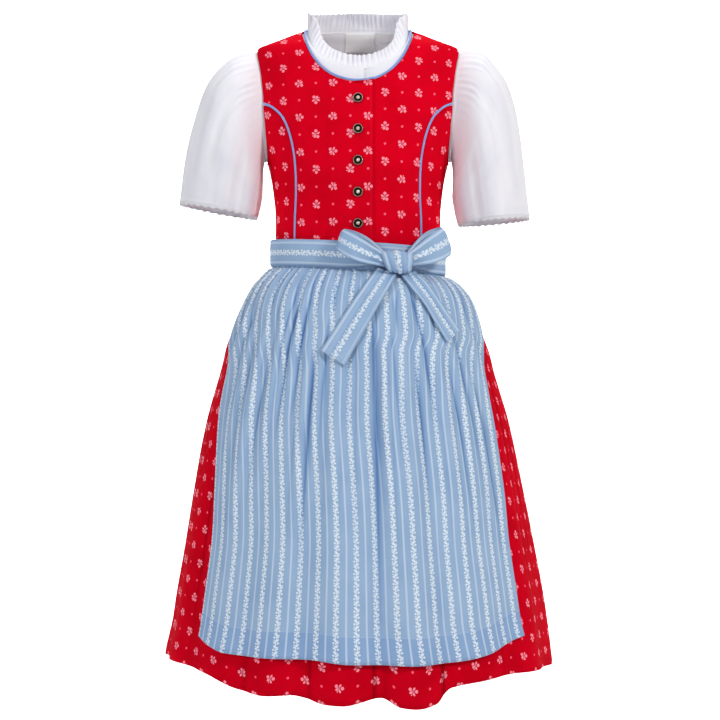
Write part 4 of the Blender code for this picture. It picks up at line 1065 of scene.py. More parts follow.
@dataclass(frozen=True)
class RedPrint:
    """Red printed cotton: a plain weave with small pink sprigs and dots by turns."""

    ground: str = "#dd001f"
    deep: str = "#cf001b"
    sprig: str = "#ff97a9"
    eye: str = "#ef6c86"
    heart: str = "#d8657c"
    dot: str = "#ff6179"
    # Tint of the shade painted into the hollows of the folds
    crease: str = "#b2aca6"
    cell: float = 22.6
    shrink: float = 1.07
    cloud: float = 55.0
    thread: float = 0.42
    blossoms: tuple[Spot, ...] = (Spot(-2.7, 3.8, 2.3, 2.1, 30.0), Spot(0.1, -4.3, 2.4, 2.2))
    leaves: tuple[Spot, ...] = (Spot(1.5, 3.1, 2.5, 1.8, 62.0), Spot(3.7, -0.8, 2.5, 1.5, -30.0),
                                Spot(-3.4, -1.3, 2.4, 1.4, 34.0), Spot(4.4, 2.4, 1.3, 0.7, 30.0))
    centre: tuple[Spot, ...] = (Spot(-0.2, 0.3, 3.1, 2.2, -58.0),)

    def build(self, name: str, stitches: Sequence[Stitch] = ()) -> Material:
        """Make the material.

        Args:
            name: its name.
            stitches: lines of stitches that show in it.

        Returns:
            The material.
        """
        shader = Shader(name)
        across, along = shader.cloth()
        column = (across * (1.0 / self.cell)).math("ROUND")
        row = (along * (1.0 / self.cell)).math("ROUND")
        x, y = across - column * self.cell, along - row * self.cell
        odd = (column + row).math("FLOORED_MODULO", 2.0).step(0.4, 0.6)
        quarter = column.math("FLOORED_MODULO", 2.0).step(0.4, 0.6)
        pairs = (row * 0.5).math("FLOOR") + (column * 0.5).math("FLOOR")
        upright = pairs.math("FLOORED_MODULO", 2.0).step(0.4, 0.6, 1.0, -1.0) * self.shrink
        straight = quarter * -1.0 + 1.0
        place = shader.add("CombineXYZ", [(x * straight - y * quarter) * upright,
                                          (y * straight - x * quarter) * upright, 0.0])
        # The sprig: two lobed blossoms with darker eyes and small leaves round a dark heart
        sprig, eyes, heart = across * 0.0, across * 0.0, across * 0.0
        for spot in self.centre:
            heart = heart.math("MAXIMUM", spot_reach(shader, place, spot)[0].step(0.0, 0.5))
        for spot in self.blossoms:
            reach, local = spot_reach(shader, place, spot)
            angle = Signal(shader, shader.add("SeparateXYZ", [local], out=1)).math(
                "ARCTAN2", shader.add("SeparateXYZ", [local], out=0))
            lobed = reach + (angle * 5.0).math("COSINE") * 0.10
            sprig = sprig.math("MAXIMUM", lobed.step(-0.08, 0.26))
            eyes = eyes.math("MAXIMUM", reach.step(0.60, 0.80))
        for spot in self.leaves:
            sprig = sprig.math("MAXIMUM", spot_reach(shader, place, spot)[0].step(-0.08, 0.34))
        dot = spot_reach(shader, place, Spot(0.0, 0.0, 2.0, 2.0))[0].step(-0.1, 0.4) * odd
        even = odd * -1.0 + 1.0
        sprig, eyes, heart = sprig * even, eyes * even, heart * even
        slow = shader.noise([across, along], 1.0 / self.cloud).step(0.35, 0.75)
        weave = plain_weave(shader, across, along, self.thread)
        threads = stitch_mask(shader, across, along, stitches)
        colour = shader.layered(
            self.ground, (slow, self.deep), (weave.step(-1.0, 1.0, 0.10, 0.0), "#5c0008"),
            (heart * 0.85, self.heart), (sprig, self.sprig), (eyes * 0.8, self.eye), (dot, self.dot),
            (threads * 0.5, "#e8324a"))
        # The short fibres of cotton give only a faint soft rim
        return shader.finish(shader.painted_shade_in_hollows(colour, self.crease), sprig * -0.06 + 0.86,
                             weave * 0.06 + threads * 0.25, 0.8, Sheen_Weight=0.01,
                             Sheen_Roughness=0.5, Sheen_Tint=linear("#ff2a3c"), Specular_IOR_Level=0.02)


@dataclass(frozen=True)
class BlueStripe:
    """Light blue cotton jacquard: pale woven vines, with a pale thin line between them."""

    ground: str = "#9cb7d5"
    deep: str = "#91aecf"
    vine: str = "#e4edf3"
    line: str = "#c3d4e6"
    # Tint of the shade painted into the hollows of the folds
    crease: str = "#a3bfde"
    repeat: float = 25.4
    line_width: float = 2.4
    rise: float = 14.9
    step_up: float = 0.37
    cloud: float = 48.0
    thread: float = 0.36
    rib: float = 0.9
    float_pitch: float = 0.7
    hem_height: float = 33.0

    def build(self, name: str, stitches: Sequence[Stitch] = (), hemmed: bool = False) -> Material:
        """Make the material.

        Args:
            name: its name.
            stitches: lines of stitches that show in it.
            hemmed: whether its lower end is turned up and lies double.

        Returns:
            The material.
        """
        shader = Shader(name)
        across, along = shader.cloth()
        column = (across * (1.0 / self.repeat)).math("ROUND")
        x = across - column * self.repeat
        shifted_along = along + column * (self.step_up * self.rise)
        y = shifted_along - (shifted_along * (1.0 / self.rise)).math("ROUND") * self.rise
        place = shader.add("CombineXYZ", [x, y, 0.0])
        half = 0.5 * self.rise
        # Leaves lie to the right and to the left by turns, with a bud beside each
        spots = (Spot(0.6, 0.0, 3.7, 1.9, 37.0), Spot(-0.6, half, 3.7, 1.9, -39.0),
                 Spot(-0.6, -half, 3.7, 1.9, -39.0), Spot(2.6, -3.1, 1.8, 1.5, 20.0),
                 Spot(-2.6, 4.0, 1.8, 1.5, -20.0), Spot(-2.4, -2.3, 1.9, 1.2, -44.0),
                 Spot(2.4, 4.7, 1.9, 1.2, 44.0), Spot(-0.4, -3.7, 2.4, 1.0, 104.0),
                 Spot(0.4, 3.8, 2.4, 1.0, 76.0), Spot(-2.7, 0.7, 1.1, 1.0, 0.0),
                 Spot(2.8, 7.0, 1.1, 1.0, 0.0))
        vine = across * 0.0
        for spot in spots:
            vine = vine.math("MAXIMUM", spot_reach(shader, place, spot)[0].step(-0.12, 0.5))
        off_line = x.math("ABSOLUTE") * -1.0 + 0.5 * self.repeat
        line = off_line.step(0.5 * self.line_width + 0.3, 0.5 * self.line_width - 0.3)
        slow = shader.noise([across, along], 1.0 / self.cloud).step(0.3, 0.75)
        rib = (across * (FULL_TURN / self.rib)).math("SINE")
        weave = plain_weave(shader, across, along, self.thread)
        layers = [(slow, self.deep), ((weave + rib).step(-2.0, 2.0, 0.16, 0.0), "#4a6ba8")]
        if hemmed:
            double = along.step(self.hem_height + 0.4, self.hem_height - 0.4, 0.0, 0.30)
            layers.append((double, "#6189c6"))
        satin = (along * (FULL_TURN / self.float_pitch) + across * 2.0).math("SINE")
        speck = shader.noise([across, along], 0.9).step(0.3, 0.6, 0.68, 0.96)
        threads = stitch_mask(shader, across, along, stitches)
        layers += [(line * 0.75, self.line), (vine * (satin * 0.04 + speck), self.vine),
                   (threads * 0.7, "#b4cbe8")]
        colour = shader.painted_shade_in_hollows(shader.layered(self.ground, *layers), self.crease)
        height = weave * 0.04 + vine * (satin * 0.03 + 0.10) + line * 0.05 + threads * 0.22
        # Mercerised threads in the figure catch the light more than the matt ground
        return shader.finish(colour, vine * -0.16 + 0.74, height, 0.8, Sheen_Weight=0.04,
                             Sheen_Roughness=0.4, Sheen_Tint=linear("#cfe0f6"), Specular_IOR_Level=0.2)


@dataclass(frozen=True)
class Batiste:
    """Fine white cotton batiste, thin enough to glow a little in its folds."""

    ground: str = "#ecebf1"
    shade: str = "#e2e2ea"
    # Tint of the shade painted into the hollows of the folds
    crease: str = "#e4e4ec"
    cloud: float = 40.0
    thread: float = 0.3

    def build(self, name: str, stitches: Sequence[Stitch] = ()) -> Material:
        """Make the material.

        Args:
            name: its name.
            stitches: lines of stitches that show in it.

        Returns:
            The material.
        """
        shader = Shader(name)
        across, along = shader.cloth()
        slow = shader.noise([across, along], 1.0 / self.cloud).step(0.35, 0.8)
        weave = plain_weave(shader, across, along, self.thread)
        threads = stitch_mask(shader, across, along, stitches)
        # Here and there a thread is thicker, as in any fine cotton
        slub = shader.noise([across * 0.05, along * 3.0], 1.0).step(0.6, 0.8)
        colour = shader.layered(self.ground, (slow * 0.6, self.shade),
                                (weave.step(-1.0, 1.0, 0.10, 0.0), "#c3c5d4"),
                                (threads * 0.35, "#d3d5e0"))
        return shader.finish(shader.painted_shade_in_hollows(colour, self.crease), slow * 0.05 + 0.8,
                             weave * 0.03 + slub * 0.03 + threads * -0.2, 0.7, Sheen_Weight=0.12,
                             Specular_IOR_Level=0.15)


@dataclass(frozen=True)
class LaceThread:
    """White cotton lace: thick thread worked in close small rings."""

    ground: str = "#f6f6fa"
    # Tint of the shade painted into the open middles of the rings
    painted_shade: str = "#c9cbd8"
    ring: float = 1.6

    def build(self, name: str) -> Material:
        """Make the material under a name.

        Args:
            name: its name.

        Returns:
            The material.
        """
        shader = Shader(name)
        across, along = shader.cloth()
        x = across - (across * (1.0 / self.ring)).math("ROUND") * self.ring
        y = along - (along * (1.0 / self.ring)).math("ROUND") * self.ring
        radius = (x * x + y * y).math("SQRT")
        ring = (radius - 0.55).math("ABSOLUTE").step(0.3, 0.08)
        # The open middle of each ring is painted grey: painted shade where the lace is open
        eyelet = radius.step(0.42, 0.25)
        colour = shader.layered(self.ground, (eyelet * 0.8, self.painted_shade))
        twist = (across * 6.0 + along * 9.0).math("SINE")
        return shader.finish(colour, eyelet * 0.1 + 0.78, ring * 0.28 + twist * 0.03, 0.9,
                             Sheen_Weight=0.1, Specular_IOR_Level=0.25)


@dataclass(frozen=True)
class SatinLabel:
    """A blank woven satin label: close weft floats with a soft gloss."""

    ground: str = "#fdfdfd"

    def build(self, name: str, stitches: Sequence[Stitch] = ()) -> Material:
        """Make the material under a name, with the stitches that hold it.

        Args:
            name: its name.
            stitches: lines of stitches that show in it.

        Returns:
            The material.
        """
        shader = Shader(name)
        across, along = shader.cloth()
        rib = (along * (FULL_TURN / 0.5)).math("SINE")
        threads = stitch_mask(shader, across, along, stitches)
        colour = shader.layered(self.ground, (rib.step(-1.0, 1.0, 0.12, 0.0), "#d4d6da"),
                                (threads * 0.5, "#cfd2da"))
        return shader.finish(colour, rib * 0.05 + 0.5, rib * 0.03 + threads * 0.15, 0.8,
                             Specular_IOR_Level=0.4)


@dataclass(frozen=True)
class BiasPiping:
    """Blue cotton cut on the bias and sewn round a cord."""

    ground: str = "#8ba3dc"
    shade: str = "#6f88c6"
    cloud: float = 7.0
    thread: float = 0.5

    def build(self, name: str) -> Material:
        """Make the material under a name.

        Args:
            name: its name.

        Returns:
            The material.
        """
        shader = Shader(name)
        across, along = shader.cloth()
        weave = plain_weave(shader, across + along, across - along, self.thread)
        pull = shader.noise([across, along], 1.0 / self.cloud).step(0.35, 0.7)
        colour = shader.layered(self.ground, (pull * 0.35, self.shade),
                                (weave.step(-1.0, 1.0, 0.16, 0.0), "#48609c"))
        return shader.finish(colour, pull * 0.06 + 0.68, weave * 0.05 + pull * 0.12, 0.8,
                             Sheen_Weight=0.12, Specular_IOR_Level=0.3)


@dataclass(frozen=True)
class OldPewter:
    """Antique pewter: near black patina in its hollows, and rim and dome bright from rubbed wear
    and a painted highlight.
    """

    # Dome and rim crest are bright from rubbed wear and a painted highlight; the recess is dark patina
    patina_and_highlight_stops: tuple[tuple[float, str], ...] = (
        (0.0, "#fdf3e2"), (0.12, "#dccfb8"), (0.21, "#86735c"), (0.28, "#241b15"), (0.50, "#2b221b"),
        (0.59, "#5d5348"), (0.65, "#cfc7ba"), (0.70, "#6e655a"), (0.80, "#2a2520"), (1.0, "#241f1a"),
    )

    def build(self, name: str) -> Material:
        """Make the material under a name.

        Args:
            name: its name.

        Returns:
            The material.
        """
        shader = Shader(name)
        around, outward = shader.cloth()
        ramp = self.patina_and_painted_highlight(shader, outward * MM)
        grime = shader.noise([around * 0.02, outward * 0.012], 1.4, 5.0)
        colour = shader.layered(ramp, (grime.step(0.45, 0.75, 0.0, 0.6), "#3a3228"))
        return shader.finish(colour, grime.step(0.3, 0.8, 0.24, 0.5), grime * 0.12, 0.7,
                             Metallic=0.95)

    def patina_and_painted_highlight(self, shader: Shader, share: Signal) -> Socket:
        """The colour from the middle of the button out to its back, at a share of the way: dark patina in
        the recess, and rubbed wear with a painted highlight on the dome and the rim's crest.

        Args:
            shader: the shader to add to.
            share: 0 in the middle and 1 at the back's middle.

        Returns:
            The colour.
        """
        socket = shader.add("ValToRGB", [share])
        ramp = socket.node.color_ramp
        while len(ramp.elements) < len(self.patina_and_highlight_stops):
            ramp.elements.new(0.5)
        for element, (place, colour) in zip(ramp.elements, self.patina_and_highlight_stops):
            element.position = place
            element.color = linear(colour)
        return socket


@dataclass(frozen=True)
class StudioPaper:
    """Pale matt background paper."""

    ground: str = "#f7f7f7"

    def build(self, name: str) -> Material:
        """Make the material under a name.

        Args:
            name: its name.

        Returns:
            The material.
        """
        shader = Shader(name)
        grain = shader.noise(shader.add("TexCoord", out="Object"), 400.0)
        colour = shader.layered(self.ground, (grain.step(0.3, 0.7, 0.0, 0.05), "#e8e8e8"))
        return shader.finish(colour, 0.95, grain * 0.02, 0.3, Specular_IOR_Level=0.1)


# Meshes
def bend(grid: bmesh.types.BMesh, columns: int, rows: int, place: Place, print_at: Print
         ) -> list[list[bmesh.types.BMVert]]:
    """Fill a bmesh with one grid bent into place.

    Args:
        grid: the bmesh.
        columns: faces from side to side.
        rows: faces from bottom to top.
        place: gives a point for two shares.
        print_at: gives the same point on the flat cloth.

    Returns:
        The points, row by row from the bottom.
    """
    bmesh.ops.create_grid(grid, x_segments=columns, y_segments=rows, size=0.5)
    flat = grid.loops.layers.uv.new("cloth")
    points = {}
    for vertex in grid.verts:
        u, v = vertex.co.x + 0.5, vertex.co.y + 0.5
        spot = print_at(u, v)
        for loop in vertex.link_loops:
            loop[flat].uv = spot
        vertex.co = place(u, v)
        points[round(v * rows), round(u * columns)] = vertex
    return [[points[row, column] for column in range(columns + 1)] for row in range(rows + 1)]


def finished(name: str, grid: bmesh.types.BMesh, material: Material) -> Item:
    """Make a smooth object of a bmesh, in its material, and free the bmesh.

    Args:
        name: its name.
        grid: the bmesh, which is freed.
        material: its material.

    Returns:
        The object.
    """
    mesh = bpy.data.meshes.new(name)
    grid.to_mesh(mesh)
    grid.free()
    mesh.shade_smooth()
    mesh.materials.append(material)
    item = bpy.data.objects.new(name, mesh)
    bpy.context.scene.collection.objects.link(item)
    return item


@dataclass
class Cloth:
    """One piece of cloth: how its flat grid bends into place and how it lies on the bolt.

    It has the name of the solid that it replaces. Place gives a point for two shares, print_at
    the same point on the flat cloth in metres. Offset -1 keeps the surface as the outer face of
    the wall. Shade is how strongly shade is painted into the colour of its hollows.
    """

    name: str
    columns: int
    rows: int
    place: Place
    print_at: Print
    wall: float
    material: Material
    offset: float = -1.0
    tube: bool = False
    shade: float = 1.0

    def mark_painted_shade(self, row: Sequence[bmesh.types.BMVert], layer: bmesh.types.BMLayerItem) -> None:
        """Note how deep each point of a row lies in a fold, for the shade painted into the cloth's
        colour.

        Args:
            row: the points from one side edge to the other.
            layer: where the depth is kept, from 0 on open cloth to 1 in a crease.
        """
        last = len(row) - 1
        pitch = sum((row[i + 1].co - row[i].co).length for i in range(last)) / last
        for reach, full in ((3.0 * MM, 1.6 * MM), (7.5 * MM, 5.5 * MM)):
            step = max(1, round(reach / max(pitch, 0.05 * MM)))
            for place, vertex in enumerate(row):
                before, after = place - step, place + step
                if self.tube:
                    before, after = before % last, after % last
                if before < 0 or after > last:
                    continue
                middle = (row[before].co + row[after].co) * 0.5
                depth = self.shade * (middle - vertex.co).dot(vertex.normal) / full
                vertex[layer] = min(1.0, vertex[layer] + max(0.0, depth))

    def build(self) -> Item:
        """Bend the grid into place and give it its wall.

        Returns:
            The piece.
        """
        grid = bmesh.new()
        # How much shade is painted into the colour, where the cloth lies deep in a fold
        painted_shade = grid.verts.layers.float.new("painted_shade")
        rows = bend(grid, self.columns, self.rows, self.place, self.print_at)
        grid.normal_update()
        for row in rows:
            self.mark_painted_shade(row, painted_shade)
        grid.faces.ensure_lookup_table()
        first = grid.faces[len(grid.faces) // 2]
        outward = first.normal.copy()
        if self.tube:
            bmesh.ops.remove_doubles(grid, verts=grid.verts, dist=0.01 * MM)
        bmesh.ops.recalc_face_normals(grid, faces=grid.faces)
        if first.normal.dot(outward) < 0.0:
            bmesh.ops.reverse_faces(grid, faces=grid.faces)
        item = finished(self.name + "_cloth", grid, self.material)
        wall = item.modifiers.new("wall", "SOLIDIFY")
        wall.thickness = self.wall
        wall.offset = self.offset
        wall.use_even_offset = False
        return item

    def sew(self, slot: Slot, cut: "Cut") -> None:
        """Build the piece and put it on the body in place of its solid."""
        present(self.build(), self.name, slot, cut)


@dataclass
class Cord:
    """A round cord along a line of points, in one piece or closed in a ring."""

    name: str
    points: Sequence[Vector]
    radius: float
    material: Material
    sides: int = 12
    ring: bool = False

    def build(self) -> Item:
        """Sweep the round section along the points and close its ends.

        Returns:
            The cord.
        """
        grid = bmesh.new()
        count = len(self.points)
        flat = grid.loops.layers.uv.new("cloth")
        rows = []
        side = Vector((0.0, 0.0, 1.0))
        lengths = [0.0]
        for i in range(1, count):
            lengths.append(lengths[-1] + (self.points[i] - self.points[i - 1]).length)
        for i, point in enumerate(self.points):
            before = self.points[i - 1] if i or self.ring else point
            after = self.points[(i + 1) % count] if i < count - 1 or self.ring else point
            along = (after - before).normalized()
            side = (side - along * side.dot(along)).normalized()
            up = along.cross(side)
            row = []
            for j in range(self.sides):
                angle = FULL_TURN * j / self.sides
                offset = side * cos(angle) + up * sin(angle)
                row.append(grid.verts.new(point + offset * self.radius))
            rows.append(row)
        spans = count if self.ring else count - 1
        for i in range(spans):
            for j in range(self.sides):
                k = (j + 1) % self.sides
                following = rows[(i + 1) % count]
                face = grid.faces.new((rows[i][j], rows[i][k], following[k], following[j]))
                start, end = lengths[i], lengths[min(i + 1, count - 1)]
                around = FULL_TURN * self.radius / self.sides
                spots = ((j * around, start), ((j + 1) * around, start), ((j + 1) * around, end),
                         (j * around, end))
                for loop, spot in zip(face.loops, spots):
                    loop[flat].uv = spot
        if not self.ring:
            grid.faces.new(rows[0])
            grid.faces.new(rows[-1])
        bmesh.ops.recalc_face_normals(grid, faces=grid.faces)
        return finished(self.name, grid, self.material)


class Cut(NamedTuple):
    """A flat piece as it was cut: metres, how it is held, what carries it and its flat area."""

    width: float
    length: float
    held: Held
    rests_on: tuple[str, ...]
    area: float | None = None


def present(item: Item, node: str, slot: Slot, cut: Cut | None = None) -> None:
    """Put a finished piece on the body in place of its solid, and log it.

    Args:
        item: the piece.
        node: name of the solid that it replaces.
        slot: its material slot; it is not used.
        cut: the flat cut, for a sheet of cloth; it is not used.
    """
    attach(item, "root")
    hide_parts(node)
    if cut:
        list(cut.rests_on)
    LOG.info("%s: %d faces", item.name, len(item.data.polygons))


def on_side(point: Vector, side: int) -> Vector:
    """The point as it lies on one side: +1 keeps it, -1 gives its mirror image."""
    return Vector((side * point.x, point.y, point.z))


def mirrored(place: Place, side: int) -> Place:
    """The placing for one side: +1 is the wearer's left, -1 the right, as its mirror image."""
    return place if side > 0 else lambda u, v: on_side(place(1.0 - u, v), side)


def mirrored_print(print_at: Print, side: int) -> Print:
    """The place on the cloth for one side, mirrored as the placing is.

    Args:
        print_at: gives the place on the cloth for two shares.
        side: +1 for the wearer's left, -1 for the right.

    Returns:
        The place for that side.
    """
    if side > 0:
        return print_at

    def other(u: float, v: float) -> Pair:
        """The mirrored place on the cloth."""
        across, along = print_at(1.0 - u, v)
        return -across, along

    return other


def torso_print(patch: Edge, side: int) -> Print:
    """The place on the cloth for a patch of the torso on one side."""
    return mirrored_print(lambda u, v: torso_cloth(*patch(u, v)), side)


def offset_print(print_at: Print, across: float, along: float) -> Print:
    """The place on the cloth, moved so that the print falls where it does on the real piece."""
    return lambda u, v: (print_at(u, v)[0] - across, print_at(u, v)[1] - along)


@dataclass
class Bodice:
    """The fitted red top: fronts, side pieces and back of the dress above the waist."""

    cloth: Material
    edged_cloth: Material
    waist: float = WAIST + 0.5 * SEAM_GAP
    neck_seat: float = 1.25 * MM
    seam_seat: float = 1.45 * MM
    side_rows: int = 70
    front_columns: int = 44
    side_columns: int = 28
    back_columns: int = 110
    rows: int = 104

    def neck(self, first: float, last: float) -> Edge:
        """The edge of the front under the neck piping."""
        return neck_edge(NECK_HALF_WIDTH + self.neck_seat, SHOULDER_POINT - 0.4 * NECK_SEAT,
                         NECK_DROP + 0.6 * self.neck_seat, first, last)

    def front_patch(self, lap: float) -> Edge:
        """One front, from its lap over the middle to the curved seam and the armhole.

        Args:
            lap: how far it laps over the middle.

        Returns:
            Turn and height for two shares.
        """
        neck = self.neck(asin(-lap / (NECK_HALF_WIDTH + self.neck_seat)), QUARTER_TURN)
        neck_bottom = neck(0.0)[1]
        seam = shifted(front_seam_edge, self.seam_seat)
        split = 0.5

        def lap_edge(share: float) -> Pair:
            """A point of the edge that laps over the middle."""
            height = mix(self.waist, neck_bottom, share)
            return turn_at(-lap, height), height

        neck_corner = (side_turn(neck(1.0)[1], SHOULDER_TRIM, False), neck(1.0)[1])
        tip_corner = (side_turn(SHOULDER_TIP, SHOULDER_TRIM, False), SHOULDER_TIP)
        bottom = straight_edge((turn_at(-lap, self.waist), self.waist), seam(0.0))
        left = joined(lap_edge, trimmed_end(neck, neck_corner), split)
        hole = trimmed_end(armhole_edge(QUARTER_TURN, 0.0), tip_corner)
        return filled(bottom, straight_edge(neck_corner, tip_corner), left, joined(seam, hole, split))

    def front(self, name: str, side: int, lap: float, raised: bool, across: float, along: float,
              cloth: Material) -> None:
        """Build one front.

        Args:
            name: the solid that it replaces.
            side: +1 for the wearer's left, -1 for the right.
            lap: how far it laps over the middle.
            raised: whether it lies over the other front.
            across: where a sprig falls, from the middle.
            along: where a sprig falls, up the cloth.
            cloth: its material.
        """
        patch = self.front_patch(lap)

        def place(u: float, v: float) -> Vector:
            """The point at two shares.

            Args:
                u: share of the way across.
                v: share of the way up.

            Returns:
                The point.
            """
            turn, height = patch(u, v)
            lift = lap_lift(torso_point(turn, height).x) if raised else 0.0
            return on_torso(turn, height, lift + crease_lift(side * turn, height))

        flat = offset_print(torso_print(patch, side), across, along)
        Cloth(name, self.front_columns, self.rows, mirrored(place, side), flat, DRESS_WALL, cloth
              ).sew(Slot.RED, Cut(0.150, 0.345, Held.STRETCHED, BLOUSE_FRONTS, 0.0330))

    def side_piece(self, name: str, side: int) -> None:
        """Build the piece between the curved seam and the side seam of one side.

        Args:
            name: its name.
            side: +1 for the wearer's left, -1 for the right.
        """
        armpit = armhole_edge(0.0, pi)(1.0)[1]
        seam = shifted(front_seam_edge, -self.seam_seat)
        edge = side_edge(self.waist, armpit, SIDE_TRIM, False)
        below_seam = 2.6 * DEGREE
        top = trimmed_end(armhole_edge(QUARTER_TURN + below_seam, pi), edge(1.0))
        patch = filled(straight_edge(seam(0.0), edge(0.0)), top, trimmed_end(seam, top(0.0)), edge)

        def place(u: float, v: float) -> Vector:
            """The point at two shares."""
            turn, height = patch(u, v)
            return on_torso(turn, height, crease_lift(side * turn, height))

        flat = offset_print(torso_print(patch, side), side * 104.0 * MM, -176.0 * MM)
        Cloth(name, self.side_columns, self.side_rows, mirrored(place, side), flat, DRESS_WALL, self.cloth
              ).sew(Slot.RED, Cut(0.075, 0.205, Held.STRETCHED, BLOUSE_FRONTS, 0.0112))

    def build(self) -> None:
        """Build all five pieces."""
        self.front("bodice_front_right", -1, RIGHT_FRONT_LAP, True, -54.8 * MM, -182.0 * MM,
                   self.edged_cloth)
        self.front("bodice_front_left", 1, LEFT_FRONT_LAP, False, 35.2 * MM, -172.2 * MM, self.cloth)
        self.side_piece("bodice_side_right", -1)
        self.side_piece("bodice_side_left", 1)
        back = BackPanel("bodice_back", self.waist, SHOULDER_POINT - 0.4 * NECK_SEAT,
                         BACK_NECK - self.neck_seat, 0.0, self.rows, self.back_columns)
        Cloth(back.name, back.columns, back.rows,
              back.place(lambda turn, height: on_torso(turn, height, crease_lift(turn, height))),
              back.flat(), DRESS_WALL, self.cloth
              ).sew(Slot.RED, Cut(0.375, 0.330, Held.STRETCHED, ("blouse_back",), 0.0900))


@dataclass
class BackPanel:
    """A back in one piece, between the side seams, the armholes and the shoulders."""

    name: str
    hem: float
    neck_side: float
    neck_middle: float
    growth: float
    rows: int
    columns: int
    shoulder_part: float = 0.2
    side_part: float = 0.42

    def patch(self) -> Edge:
        """Turn and height for two shares.

        Returns:
            The patch.
        """
        armhole = armhole_edge(pi, FULL_TURN, self.growth)
        armpit, tip = armhole(0.0)[1], armhole(1.0)[1]
        tip_corner = (side_turn(tip, SHOULDER_TRIM, True), tip)
        side = joined(side_edge(self.hem, armpit, SIDE_TRIM, True), trimmed_end(armhole, tip_corner),
                      self.side_part)

        def other_side(share: float) -> Pair:
            """A point of the other side edge."""
            turn, height = side(share)
            return FULL_TURN - turn, height

        def top(share: float) -> Pair:
            """A point of the shoulders and the neckline.

            Args:
                share: share of the way along.

            Returns:
                Its turn and height.
            """
            if share < self.shoulder_part:
                height = mix(tip, self.neck_side, share / self.shoulder_part)
                return side_turn(height, SHOULDER_TRIM, True), height
            if share > 1.0 - self.shoulder_part:
                turn, height = top(1.0 - share)
                return FULL_TURN - turn, height
            start = side_turn(self.neck_side, SHOULDER_TRIM, True)
            across = (share - self.shoulder_part) / (1.0 - 2.0 * self.shoulder_part)
            turn = mix(start, FULL_TURN - start, across)
            return turn, back_neck_height(turn, self.neck_side, self.neck_middle)

        return filled(straight_edge(side(0.0), other_side(0.0)), top, side, other_side)

    def place(self, surface: Place) -> Place:
        """The placing of the back over a surface given by turn and height."""
        patch = self.patch()
        return lambda u, v: surface(*patch(u, v))

    def flat(self) -> Print:
        """Where its points lie on the cloth."""
        return torso_print(self.patch(), 1)


